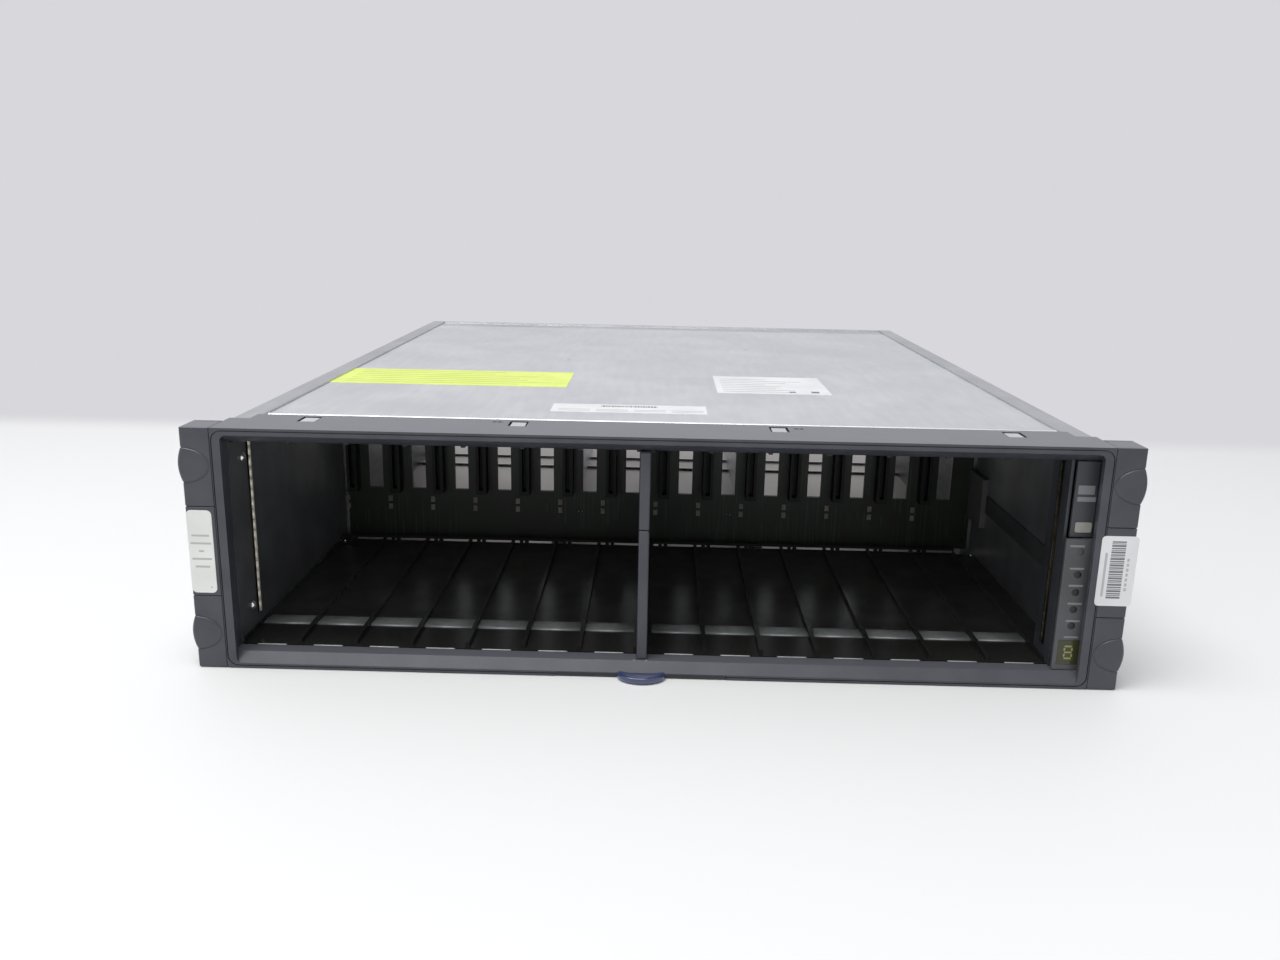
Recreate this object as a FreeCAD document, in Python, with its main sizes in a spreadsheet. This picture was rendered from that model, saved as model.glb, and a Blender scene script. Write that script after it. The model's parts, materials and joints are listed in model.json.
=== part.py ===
import FreeCAD, Part
import math
import os
import re
import Sketcher

# Disk shelf enclosure, 3U high, for fourteen drives, in millimetres.
# Frame: +X to the viewer's right, +Y from the front bezel to the rear, +Z up.
# Origin: the centre of the whole part's box in X and Y, on the surface it stands on.

SIZES = {
    # sheet steel chassis
    "steel": 1.2,              # gauge of every folded sheet
    "chassis_front": 20.0,     # bezel face to the front edge of the floor
    "rail_width": 11.5,        # top flange of each side wall
    "rail_front": 26.8,        # bezel face to the front end of those flanges
    "rear_cross": 28.0,        # rear crossmember, front to back
    "hem_radius": 1.9,         # rolled front edge of the top cover
    "hem_back": 45.0,          # bezel face to the rear of that roll
    "hem_inset": 4.0,          # from a rail's inner edge to the end of the roll
    "cross_depth": 40.0,       # front crossmember, front to back
    "rear_leg": 6.6,           # drop of the rear crossmember's leg
    "rear_lip": 7.0,           # raised strip along the rear edge
    # drive bays
    "bay_pitch": 29.85,
    "partition_gap": 7.0,      # between the left and right blocks of bays
    "panel_width": 13.9,       # operator panel, right of the bays
    "liner": 2.9,              # plastic side liners
    "bay_height": 111.0,       # clear height between the trays
    "tunnel": 4.3,             # space under the lower tray, where the card runs
    "tray": 2.5,               # lower tray thickness
    "ceiling": 2.4,            # upper tray thickness
    "roof_gap": 1.0,           # upper tray to the front crossmember
    "tray_front": 14.3,        # bezel face to the front edge of the trays
    "tray_rear": 198.0,        # bezel face to their rear edge
    "rib_width": 2.1,
    "rib_height": 2.5,
    "partition": 3.0,
    "clip_start": 42.4,        # bezel face to the grounding clips
    "clip_depth": 13.4,
    "clip_gauge": 0.6,
    "spring_width": 16.0,      # small spring at each bay's mouth
    # midplane
    "board_front": 209.0,      # bezel face to the front of the midplane board
    "board": 3.0,
    "board_margin": 2.1,       # board edge to the liner's inner face
    "window_width": 9.4,
    "window_height": 66.5,
    "window_sill": 43.5,       # height of the windows' lower edge
    "window_edge": 2.65,       # bay's right edge to its window
    "connector_width": 7.0,
    "connector_height": 68.0,
    "connector_depth": 10.0,
    "connector_inset": 4.3,    # bay's left edge to its connector
    "connector_drop": 1.0,     # connector's foot below the windows' lower edge
    "connector_slot": 3.0,
    "contact_height": 3.9,
    "contact_width": 2.8,
    "contact_inset": 0.6,      # bay's left edge to its two contacts
    "contact_drop": 4.6,       # connector's foot down to the upper contact
    "contact_pitch": 5.8,
    "rear_connector_width": 12.0,
    "rear_connector_height": 44.0,
    "bracket_face": 8.3,       # midplane bracket, face leg
    "bracket_leg": 12.0,
    # rear bays
    "rear_depth": 328.0,       # rear of the midplane board to the rear edge
    "module_half": 66.0,       # centre plane to a divider's inner face
    "divider_flange": 10.0,
    "crossbar_height": 18.0,
    "crossbar_depth": 7.5,
    "guide_width": 9.0,
    "latch_height": 2.0,
    "latch_depth": 2.4,
    "latch_front": 85.2,       # rear edge to the front latch rail
    "latch_rear": 47.0,        # rear edge to the rear latch rail
    "wheel_radius": 5.2,
    "wheel_width": 3.4,
    "axle_radius": 0.8,
    "axle_seat": 1.6,          # length of each axle end in its cheek
    "switch_cheek": 3.45,      # housing beside the wheel's well
    # bezel
    "bezel_lift": 0.5,         # bezel bottom above the floor's underside
    "bezel_rise": 1.5,         # bezel top above the side rails
    "bezel_depth": 13.0,
    "bezel_flange": 38.2,      # bezel face to the rear edge of the top flange
    "bezel_wall": 1.9,
    "ear_overhang": 14.0,      # chassis side to the ear's outer edge
    "rim": 4.5,                # raised frame around the opening
    "rim_depth": 3.0,
    "frame_radius": 5.6,       # outer corner of the raised frame
    "rim_radius": 3.0,         # inner corner of the raised frame
    "groove": 0.6,
    "groove_depth": 0.9,
    "frame_border_top": 1.15,  # bezel edge to the groove, top and bottom
    "frame_border_low": 0.9,
    "opening_low": 3.0,        # height of the opening's lower front edge
    "opening_drop": 3.7,       # bezel top down to the opening's upper front edge
    "sill_run": 4.5,           # depth of the sill's slope
    "head_run": 8.0,           # depth of the head's slope
    "mullion_width": 5.5,
    "mullion_front": 5.5,
    "mullion_depth": 6.7,
    "mullion_seam": 78.0,
    # top tabs that hook the bezel
    "hook_width": 7.6,
    "hook_front": 22.0,
    "hook_length": 10.5,
    "hook_clearance": 1.0,
    "hook_far_left": -181.0,   # middle of each tab
    "hook_near_left": -73.0,
    "hook_near_right": 61.0,
    "hook_far_right": 181.0,
    # rack ears
    "flange_front": 18.8,      # bezel face to the front of the rack flanges
    "rack_edge": 0.7,          # rack flange short of the ear's outer edge
    "rack_hole_inset": 9.05,   # chassis side to the rack hole centres
    "rack_hole_low": 19.4,
    "rack_hole_pitch": 88.9,
    "rack_hole_radius": 3.4,
    "ear_wall": 2.2,
    "cap_low": 39.6,           # seam under the middle of the ear
    "cap_high": 87.0,          # seam over it
    "oval_height": 17.6,       # finger grip of a cap
    "oval_reach": 1.8,
    "oval_depth": 12.0,
    # operator panel
    "lower_plate_front": 6.0,
    "upper_plate_front": 8.7,
    "panel_plate": 2.0,
    "panel_seam": 79.0,
    "upper_plate_inset": 2.3,
    "badge_inset": 1.95,       # upper plate's left edge to its badge
    "badge_width": 8.4,
    "badge_rise": 2.9,         # plates' seam to the badge
    "badge_height": 5.3,
    "badge_radius": 1.0,
    "led_radius": 1.6,
    "led_inset": 6.3,          # panel's outer edge to the lamp centres
    "lamp_top": 72.3,          # height of each lamp
    "lamp_second": 60.2,
    "lamp_third": 50.7,
    "lamp_fourth": 41.5,
    "lamp_bottom": 32.6,
    "window_side": 10.9,       # display window
    "window_tall": 13.4,
    "window_gauge": 1.4,
    "display_low": 11.2,
    "housing_wall": 1.5,
    "housing_back": 34.0,
    "circuit": 1.6,
    "circuit_front": 20.0,
    "gasket_front": 40.0,      # bezel face to the middle of the left finger strip
    "panel_gasket_front": 22.2,
    "gasket_rise": 8.5,        # tray to the lower end of both strips
    "gasket_width": 4.6,
    "gasket_gauge": 0.4,
    "finger_height": 0.8,
    "ribbon_width": 12.0,
    "ribbon": 0.9,
    "harness_depth": 30.0,
    "harness_height": 33.0,
    "harness_low": 33.0,
    "harness_width": 3.9,
    # pull-out card
    "card_width": 88.0,
    "card_length": 120.0,
    "card": 0.8,
    "card_lip": 1.9,           # height of the card's front strip
    "card_lip_depth": 8.0,
    "grip_reach": 9.0,         # grip in front of the bezel face
    "grip_width": 25.2,
    "grip_height": 3.2,
    "runner": 2.0,
    # stickers: left edge, width, bezel face to the front edge, depth;
    # the caution sticker starts at the left rail
    "caution_width": 152.0,
    "caution_start": 162.5,
    "caution_depth": 62.2,
    "bars_x": -62.0,
    "bars_width": 88.5,
    "bars_start": 78.0,
    "bars_depth": 25.0,
    "spec_x": 36.0,
    "spec_width": 72.0,
    "spec_start": 153.0,
    "spec_depth": 70.0,
    "ear_label_low": 41.4,
    "ear_label_height": 43.8,
    "ear_label_corner": 2.5,
    "asset_low": 46.2,
    "asset_height": 36.7,
    "asset_lap": 1.4,          # laps the bezel and the ear's outer edge
    "asset_corner": 2.0,
    # shared
    "gap": 0.3,                # clearance between fitted pieces
    "running": 0.05,           # clearance around a turning pin
    "rivet_radius": 2.0,
    "rivet_head": 0.8,
    "screw_radius": 1.5,
    "rivet_rise": 15.0,        # tray to the lower rivets of the side liners
    "rivet_drop": 13.25,       # ceiling down to their upper rivets
    "rivet_front": 31.25,      # bezel face to those rivets
    "rivet_row_front": 293.0,  # bezel face to each row of rivets on the cover
    "rivet_row_middle": 377.0,
    "rivet_row_rear": 480.0,
    "label": 0.2,
}

doc = FreeCAD.newDocument("disk_shelf_enclosure")
sheet = doc.addObject("Spreadsheet::Sheet", "Dims")
for row, (alias, value) in enumerate(SIZES.items(), 1):
    sheet.set(f"A{row}", alias)
    sheet.set(f"B{row}", str(value))
    sheet.setAlias(f"B{row}", alias)
doc.recompute()

BAYS = 7          # in each of the two blocks
FINGERS = 17      # in each finger gasket
HOOKS = ("hook_far_left", "hook_near_left", "hook_near_right", "hook_far_right")
LAMPS = ("lamp_top", "lamp_second", "lamp_third", "lamp_fourth", "lamp_bottom")
nodes = {}


# ---- formulas that read the sheet ----

def bound(formula):
    """A formula in plain size names, rewritten so that it reads the sheet."""
    def word(match):
        name = match.group()
        return f"Dims.{name}" if name in SIZES else name
    return re.sub(r"[A-Za-z_]+", word, str(formula))


def value(formula):
    return float(str(sheet.evalExpression(bound(formula))).split()[0])


def minus(formula):
    return f"(-({formula}))"


def plus(*formulas):
    return "(" + " + ".join(f"({one})" for one in formulas) + ")"


def less(first, *rest):
    return "(" + " - ".join(f"({one})" for one in (first, *rest)) + ")"


def span(middle, width):
    """The two ends of a stretch of this width about a middle."""
    return (f"({middle} - ({width}) / 2)", f"({middle} + ({width}) / 2)")


def sided(side, inner, outer):
    """A stretch of |x| on the left (-1) or on the right (+1), low end first."""
    return (inner, outer) if side > 0 else (minus(outer), minus(inner))


# heights
TRAY_TOP = "(steel + tunnel + tray)"
BAY_TOP = plus(TRAY_TOP, "bay_height")
CROSS_LOW = plus(BAY_TOP, "ceiling + roof_gap")
ROOF = plus(CROSS_LOW, "steel")
RAIL_LOW = plus(ROOF, "steel")
CHASSIS_TOP = plus(RAIL_LOW, "steel")
BEZEL_TOP = plus(CHASSIS_TOP, "bezel_rise")
HEAD_FRONT = less(BEZEL_TOP, "opening_drop")
HEAD_BACK = plus(BAY_TOP, "gap")

# widths, from the bays outwards
HALF = f"((2 * steel + 2 * liner + {2 * BAYS} * bay_pitch + partition_gap + panel_width) / 2)"
WALL = less(HALF, "steel")
FACE = less(WALL, "liner")
CAGE = f"({minus(FACE)} + {BAYS} * bay_pitch + partition_gap / 2)"
EAR = plus(HALF, "ear_overhang")
FRAME = less(HALF, "steel + gap")
OPENING = less(FRAME, "rim + gap / 2")
PANEL_LEFT = less(FACE, "panel_width")
RAIL_INNER = less(HALF, "rail_width")

# depths: everything is counted from the bezel's front face
DEPTH = "(board_front + board + rear_depth)"
FRONT = f"((grip_reach - {DEPTH}) / 2)"


def back(distance):
    """The Y of a plane at this distance behind the bezel's front face."""
    return f"({FRONT} + ({distance}))"


def bay(number):
    """The X of the left edge of a bay, counted from the left."""
    skip = "partition_gap" if number >= BAYS else "0"
    return f"({minus(FACE)} + {number} * bay_pitch + {skip})"


# ---- ways of making a piece ----

def bind(thing, **formulas):
    for name, formula in formulas.items():
        thing.setExpression(name.replace("_", "."), bound(formula))


def place(thing, x="0", y="0", z="0"):
    bind(thing, Placement_Base_x=x, Placement_Base_y=y, Placement_Base_z=z)
    return thing


def node(label, thing):
    """Names a finished piece; its label is also its file's name."""
    thing.Label = label
    nodes[label] = thing
    return thing


def box(x, y, z):
    """A block between two planes each way; every plane is a formula."""
    thing = doc.addObject("Part::Box", "Block")
    bind(thing, Length=less(x[1], x[0]), Width=less(y[1], y[0]), Height=less(z[1], z[0]))
    return place(thing, x[0], y[0], z[0])


def rod(radius, start, length, along):
    """A round bar from a start point, along +X, +Y or +Z."""
    thing = doc.addObject("Part::Cylinder", "Rod")
    turns = {"x": FreeCAD.Rotation(FreeCAD.Vector(0, 1, 0), 90),
             "y": FreeCAD.Rotation(FreeCAD.Vector(1, 0, 0), -90),
             "z": FreeCAD.Rotation()}
    thing.Placement = FreeCAD.Placement(FreeCAD.Vector(), turns[along])
    bind(thing, Radius=radius, Height=length)
    return place(thing, *start)


def group(pieces):
    thing = doc.addObject("Part::Compound", "Group")
    thing.Links = pieces
    return thing


def fuse(pieces):
    thing = doc.addObject("Part::MultiFuse", "Fusion")
    thing.Shapes = pieces
    thing.Refine = True
    return thing


def cut(base, tools):
    thing = doc.addObject("Part::Cut", "Cut")
    thing.Base = base
    thing.Tool = tools[0] if len(tools) == 1 else group(tools)
    return thing


def common(first, second):
    thing = doc.addObject("Part::Common", "Common")
    thing.Base = first
    thing.Tool = second
    return thing


def sketch_on(body, plane):
    sketch = body.newObject("Sketcher::SketchObject", "Profile")
    support = [one for one in body.Origin.OriginFeatures if one.Role == plane][0]
    sketch.AttachmentSupport = [(support, "")]
    sketch.MapMode = "FlatFace"
    return sketch


def pin_to(sketch, kind, geometry, point, formula):
    """Holds one point of a sketch at a formula's distance from the origin."""
    number = sketch.addConstraint(
        Sketcher.Constraint(kind, -1, 1, geometry, point, value(formula)))
    sketch.setExpression(f"Constraints[{number}]", bound(formula))


def polygon(body, plane, corners):
    sketch = sketch_on(body, plane)
    spots = [FreeCAD.Vector(value(u), value(v), 0) for u, v in corners]
    count = len(corners)
    for k in range(count):
        sketch.addGeometry(Part.LineSegment(spots[k], spots[(k + 1) % count]), False)
    for k in range(count):
        sketch.addConstraint(Sketcher.Constraint("Coincident", k, 2, (k + 1) % count, 1))
    for k, (u, v) in enumerate(corners):
        pin_to(sketch, "DistanceX", k, 1, u)
        pin_to(sketch, "DistanceY", k, 1, v)
    return sketch


def rounded_rectangle(body, plane, u, v, radius):
    """A rectangle with round corners between two planes each way."""
    sketch = sketch_on(body, plane)
    low_u, high_u, low_v, high_v = (value(one) for one in (*u, *v))
    r = value(radius)
    lines = [((low_u + r, low_v), (high_u - r, low_v)),
             ((high_u, low_v + r), (high_u, high_v - r)),
             ((high_u - r, high_v), (low_u + r, high_v)),
             ((low_u, high_v - r), (low_u, low_v + r))]
    centres = [(high_u - r, low_v + r), (high_u - r, high_v - r),
               (low_u + r, high_v - r), (low_u + r, low_v + r)]
    for k in range(4):
        ends = [FreeCAD.Vector(a, b, 0) for a, b in lines[k]]
        sketch.addGeometry(Part.LineSegment(*ends), False)
        circle = Part.Circle(FreeCAD.Vector(*centres[k], 0), FreeCAD.Vector(0, 0, 1), r)
        turn = math.radians(90 * (k - 1))
        sketch.addGeometry(Part.ArcOfCircle(circle, turn, turn + math.pi / 2), False)
    for k in range(4):
        sketch.addConstraint(Sketcher.Constraint("Tangent", 2 * k, 2, 2 * k + 1, 1))
        sketch.addConstraint(Sketcher.Constraint("Tangent", 2 * k + 1, 2, (2 * k + 2) % 8, 1))
    for line, kind in ((0, "Horizontal"), (2, "Vertical"), (4, "Horizontal"), (6, "Vertical")):
        sketch.addConstraint(Sketcher.Constraint(kind, line))
    for arc in (3, 5, 7):
        sketch.addConstraint(Sketcher.Constraint("Equal", 1, arc))
    number = sketch.addConstraint(Sketcher.Constraint("Radius", 1, r))
    sketch.setExpression(f"Constraints[{number}]", bound(radius))
    pin_to(sketch, "DistanceX", 6, 1, u[0])
    pin_to(sketch, "DistanceX", 2, 1, u[1])
    pin_to(sketch, "DistanceY", 0, 1, v[0])
    pin_to(sketch, "DistanceY", 4, 1, v[1])
    return sketch


def new_body():
    body = doc.addObject("PartDesign::Body", "Body")
    body.AllowCompound = True
    return body


def pad(body, sketch, length):
    """Thickens a profile towards +X, +Y or +Z."""
    feature = body.newObject("PartDesign::Pad", "Pad")
    feature.Profile = sketch
    feature.Reversed = sketch.AttachmentSupport[0][0].Role == "XZ_Plane"
    bind(feature, Length=length)
    return feature


def prism(plane, corners, start, length):
    """A folded or moulded piece with one outline all along its length."""
    body = new_body()
    pad(body, polygon(body, plane, corners), length)
    axis = {"YZ_Plane": "x", "XZ_Plane": "y", "XY_Plane": "z"}[plane]
    return place(body, **{axis: start})


def round_plate(u, v, radius, start, length):
    """A plate across Y with round corners."""
    body = new_body()
    pad(body, rounded_rectangle(body, "XZ_Plane", u, v, radius), length)
    return place(body, y=start)


# ---- chassis ----

def chassis():
    across = (minus(WALL), WALL)
    node("chassis_floor", box(across, (back("chassis_front"), back(DEPTH)), ("0", "steel")))

    for side, name in ((-1, "left"), (1, "right")):
        wall = box(sided(side, WALL, HALF), (back("flange_front"), back(DEPTH)), ("0", RAIL_LOW))
        rail = box(sided(side, RAIL_INNER, HALF), (back("rail_front"), back(DEPTH)),
                   (RAIL_LOW, CHASSIS_TOP))
        flange = box(sided(side, WALL, less(EAR, "rack_edge")),
                     (back("flange_front"), back("flange_front + steel")),
                     ("bezel_lift + ear_wall", RAIL_LOW))
        hole_x = f"{side} * ({HALF} + rack_hole_inset)"
        holes = [rod("rack_hole_radius", (hole_x, back("flange_front - gap"), height),
                     "steel + 2 * gap", "y")
                 for height in ("rack_hole_low", "rack_hole_low + rack_hole_pitch")]
        node(f"side_wall_{name}", cut(fuse([wall, rail, flange]), holes))

    # the bezel hangs on four hooks that stand up from the front crossmember
    web = box(across, (back("chassis_front"), back("chassis_front + cross_depth")), (CROSS_LOW, ROOF))
    hook_top = less(BEZEL_TOP, "gap")
    parts = [web]
    for x in HOOKS:
        wide = span(x, "hook_width")
        hook_back = "hook_front + hook_length"
        parts.append(box(wide, (back("hook_front"), back(hook_back)),
                         (less(hook_top, "steel"), hook_top)))
        parts.append(box(wide, (back(less(hook_back, "steel")), back(hook_back)), (ROOF, hook_top)))
    node("front_crossmember", fuse(parts))

    rear = back(DEPTH)
    node("rear_crossmember", fuse([
        box(across, (less(rear, "rear_cross - gap"), rear), (ROOF, RAIL_LOW)),
        box((minus(less(RAIL_INNER, "gap")), less(RAIL_INNER, "gap")),
            (less(rear, "rear_lip"), rear), (RAIL_LOW, CHASSIS_TOP)),
        box(across, (less(rear, "steel"), rear), (less(ROOF, "rear_leg"), ROOF))]))


def top_cover():
    edge = less(RAIL_INNER, "hem_inset")
    axis_y = back("hem_back - hem_radius")
    roll = rod("hem_radius", (minus(edge), axis_y, plus(ROOF, "hem_radius")), f"2 * {edge}", "x")
    front = box((minus(edge), edge), (axis_y, back("hem_back + 2 * hem_inset")), (ROOF, RAIL_LOW))
    wide = less(WALL, "gap")
    main = box((minus(wide), wide), (back("hem_back + hem_inset"), back(less(DEPTH, "rear_cross"))),
               (ROOF, RAIL_LOW))
    node("top_cover", fuse([roll, front, main]))


# ---- rear bays ----

def dividers():
    length = less(DEPTH, "board_front + board + bracket_leg + steel + gap")
    start = back("board_front + board + bracket_leg")
    for side, name in ((-1, "left"), (1, "right")):
        def at(distance):
            return f"({side} * (module_half + {distance}))"
        outline = [(at("0"), "steel"), (at("divider_flange"), "steel"),
                   (at("divider_flange"), "2 * steel"), (at("steel"), "2 * steel"),
                   (at("steel"), CROSS_LOW), (at("divider_flange"), CROSS_LOW),
                   (at("divider_flange"), ROOF), (at("0"), ROOF)]
        node(f"divider_{name}", prism("XZ_Plane", outline, start, length))

    # ledges on the dividers, which the upper module slides on
    middle = f"({ROOF} / 2)"
    ledges = [box(sided(side, "module_half - guide_width", "module_half"),
                  (back("board_front + board + bracket_leg + guide_width"),
                   back(less(DEPTH, "crossbar_depth + steel + gap"))),
                  span(middle, "steel"))
              for side in (-1, 1)]
    node("module_guides", group(ledges))

    # bars across the floor that the modules' latches pull against
    stretches = [(minus("module_half - gap"), "module_half - gap")]
    stretches += [sided(side, "module_half + divider_flange + gap", WALL) for side in (-1, 1)]
    rails = [box(x, (back(less(DEPTH, where)), back(plus(less(DEPTH, where), "latch_depth"))),
                 ("steel", "steel + latch_height"))
             for x in stretches for where in ("latch_front", "latch_rear")]
    node("latch_rails", group(rails))


def identity_switch():
    middle = f"({ROOF} / 2)"
    rear = back(less(DEPTH, "steel"))
    front = less(rear, "crossbar_depth")
    bar = box((minus("module_half"), "module_half"), (front, rear), span(middle, "crossbar_height"))
    half_x = "(wheel_width / 2 + gap + switch_cheek)"
    half_z = "(wheel_radius + 4 * gap)"
    hole = box((minus(plus(half_x, "gap")), plus(half_x, "gap")),
               (less(front, "gap"), plus(rear, "gap")),
               (less(middle, half_z, "gap"), plus(middle, half_z, "gap")))
    node("module_crossbar", cut(bar, [hole]))

    axis_y = less(plus(rear, "steel"), "2 * gap + wheel_radius")
    block = box((minus(half_x), half_x), (less(axis_y, half_z), rear),
                (less(middle, half_z), plus(middle, half_z)))
    well = box(span("0", "wheel_width + 2 * gap"), (less(axis_y, "wheel_radius + gap"), plus(rear, "gap")),
               span(middle, "2 * wheel_radius + 2 * gap"))
    pin_length = "(wheel_width + 2 * gap + 2 * axle_seat)"
    bore = rod("axle_radius + running", (f"-{pin_length} / 2 - running", axis_y, middle),
               f"{pin_length} + 2 * running", "x")
    node("id_switch_housing", cut(block, [well, bore]))
    node("id_wheel", fuse([
        rod("wheel_radius", ("-wheel_width / 2", axis_y, middle), "wheel_width", "x"),
        rod("axle_radius", (f"-{pin_length} / 2", axis_y, middle), pin_length, "x")]))


# ---- midplane ----

def midplane():
    edge = less(FACE, "board_margin")
    low, high = plus(TRAY_TOP, "2 * gap"), BAY_TOP
    board = (back("board_front"), back("board_front + board"))
    through = (less(board[0], "gap"), plus(board[1], "gap"))
    holes = []
    for number in range(2 * BAYS):
        x = plus(bay(number), "bay_pitch - window_width - window_edge")
        holes.append(box((x, plus(x, "window_width")), through,
                         ("window_sill", "window_sill + window_height")))
    node("midplane_board", cut(box((minus(edge), edge), board, (low, high)), holes))

    face = (back("board_front - connector_depth"), board[0])
    bodies, slots, contacts = [], [], []
    base = less("window_sill", "connector_drop")
    for number in range(2 * BAYS):
        x = plus(bay(number), "connector_inset")
        wide = (x, plus(x, "connector_width"))
        bodies.append(box(wide, face, (base, plus(base, "connector_height"))))
        slots.append(box(span(plus(x, "connector_width / 2"), "connector_slot"),
                         (less(face[0], "gap"), less(face[1], "connector_depth / 3")),
                         (plus(base, "connector_slot"), plus(base, "connector_height - connector_slot"))))
        left = plus(bay(number), "contact_inset")
        for step in (0, 1):
            top = less(base, f"contact_drop + {step} * contact_pitch")
            contacts.append(box((left, plus(left, "contact_width")),
                                (less(board[0], "clip_gauge"), board[0]),
                                (less(top, "contact_height"), top)))
    node("drive_connectors", cut(group(bodies), slots))
    node("drive_contacts", group(contacts))

    # connectors on the rear of the board stand between its windows
    behind = (board[1], plus(board[1], "connector_depth"))
    heights = [(low_end, plus(low_end, "rear_connector_height"))
               for low_end in (plus(low, "bracket_face"), less(high, "bracket_face + rear_connector_height"))]
    middle_x = span("0", "rear_connector_width")
    node("module_connectors", group([box(middle_x, behind, tall) for tall in heights]))
    power = []
    for number in (2, 2 * BAYS - 3):
        x = plus(bay(number), "rib_width + gap")
        power += [box((x, plus(x, "rear_connector_width")), behind, tall) for tall in heights]
    node("power_connectors", group(power))

    for side, name in ((-1, "left"), (1, "right")):
        inner = f"({side} * {less(WALL, 'bracket_face')})"
        turn = f"({side} * {less(WALL, 'steel')})"
        outer = f"({side} * {WALL})"
        rear, thick = board[1], plus(board[1], "steel")
        tip = plus(board[1], "bracket_leg")
        outline = [(inner, rear), (outer, rear), (outer, tip), (turn, tip), (turn, thick), (inner, thick)]
        node(f"midplane_bracket_{name}",
             prism("XY_Plane", outline, "steel", less(HEAD_BACK, "steel")))

    heads = [rod("screw_radius", (f"{side} * {less(edge, '2 * rivet_radius')}",
                                  less(board[0], "rivet_head"), z), "rivet_head", "y")
             for side in (-1, 1) for z in (plus(low, "2 * rivet_radius + rib_height"),
                                           less(high, "2 * rivet_radius"))]
    node("midplane_screws", group(heads))


# ---- drive cage ----

def trays():
    wide = (minus(FACE), FACE)
    deep = (back("tray_front"), back("tray_rear"))
    rib_deep = (plus(deep[0], "rib_height"), less(deep[1], "clip_gauge + rivet_head"))
    edges = [bay(number) for number in range(BAYS)] + [less(bay(BAYS), "partition_gap")]
    edges += [bay(number) for number in range(BAYS, 2 * BAYS)]
    edges += [plus(bay(2 * BAYS - 1), "bay_pitch")]
    first = (edges[0], plus(edges[0], "rib_width / 2"))
    last = (less(edges[-1], "rib_width / 2"), less(edges[-1], "gap / 3"))
    rib_wide = [first, *(span(x, "rib_width") for x in edges[1:-1]), last]

    low = "steel + tunnel"
    plate = box(wide, deep, (low, TRAY_TOP))
    ribs = [box(x, rib_deep, (TRAY_TOP, plus(TRAY_TOP, "rib_height"))) for x in rib_wide]
    foot_deep = (back("chassis_front + gap"), deep[1])
    inner_left = less(CAGE, "card_width / 2 + 2 * gap + 2 * runner")
    inner_right = plus(CAGE, "card_width / 2 + 2 * gap + 2 * runner")
    feet = [(wide[0], plus(wide[0], "runner")), (less(inner_left, "runner"), inner_left),
            (inner_right, plus(inner_right, "runner")), (less(wide[1], "runner"), wide[1])]
    legs = [box(x, foot_deep, ("steel", low)) for x in feet]
    node("guide_tray_lower", fuse([plate, *ribs, *legs]))

    top = plus(BAY_TOP, "ceiling")
    plate = box(wide, deep, (BAY_TOP, top))
    ribs = [box(x, rib_deep, (less(BAY_TOP, "rib_height"), BAY_TOP)) for x in rib_wide]
    pads = [box(x, (back("chassis_front"), back("chassis_front + cross_depth")), (top, CROSS_LOW))
            for x in feet]
    node("guide_tray_upper", fuse([plate, *ribs, *pads]))

    clip_y = (back("clip_start"), back("clip_start + clip_depth"))
    lower, upper = [], []
    for number in range(2 * BAYS):
        x = (plus(bay(number), "rib_width / 2 + gap"),
             plus(bay(number), "bay_pitch - rib_width / 2 - gap"))
        lower.append(box(x, clip_y, (TRAY_TOP, plus(TRAY_TOP, "clip_gauge"))))
        upper.append(box(x, clip_y, (less(BAY_TOP, "clip_gauge"), BAY_TOP)))
        mouth = span(plus(bay(number), "bay_pitch / 2 + rib_width / 2"), "spring_width")
        lower.append(box(mouth, (back("tray_front - 2 * clip_gauge"), back("tray_front")),
                         (less(TRAY_TOP, "clip_gauge"), plus(TRAY_TOP, "gap"))))
    node("ground_clips_lower", group(lower))
    node("ground_clips_upper", group(upper))

    node("centre_partition", box(span(CAGE, "partition"),
                                 (back("mullion_front + mullion_depth + gap"),
                                  back("tray_rear")), (TRAY_TOP, BAY_TOP)))


def liners():
    deep = (back("tray_front - gap"), back("board_front - 2 * gap"))
    tall = ("steel", CROSS_LOW)
    for side, name in ((-1, "left"), (1, "right")):
        node(f"side_liner_{name}", box(sided(side, FACE, WALL), deep, tall))
    heads = [rod("rivet_radius", (x, back("rivet_front"), z), "rivet_head", "x")
             for x in (minus(FACE), less(FACE, "rivet_head"))
             for z in (plus(TRAY_TOP, "rivet_rise"), less(BAY_TOP, "rivet_drop"))]
    node("liner_rivets", group(heads))


def finger_gasket(x_root, side, y, tall):
    """A grounding strip of sprung fingers on a wall; side is the way it faces."""
    root = (x_root, plus(x_root, "gasket_gauge")) if side > 0 else (less(x_root, "gasket_gauge"), x_root)
    crest = (root[1], plus(root[1], "finger_height")) if side > 0 else (
        less(root[0], "finger_height"), root[0])
    pitch = f"(({tall[1]} - {tall[0]}) / {FINGERS})"
    strip = box(root, span(y, "gasket_width"), tall)
    fingers = []
    for number in range(FINGERS):
        start = f"({tall[0]} + {number} * {pitch} + gap)"
        fingers.append(box(crest, span(y, "gasket_width / 3"), (start, f"({start} + {pitch} - 2 * gap)")))
    return fuse([strip, *fingers])


def gaskets():
    tall = (plus(TRAY_TOP, "gasket_rise"), less(BAY_TOP, "rib_height + gap"))
    node("finger_gasket_left", finger_gasket(minus(FACE), 1, back("gasket_front"), tall))
    node("finger_gasket_right", finger_gasket(PANEL_LEFT, -1, back("panel_gasket_front"), tall))


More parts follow.
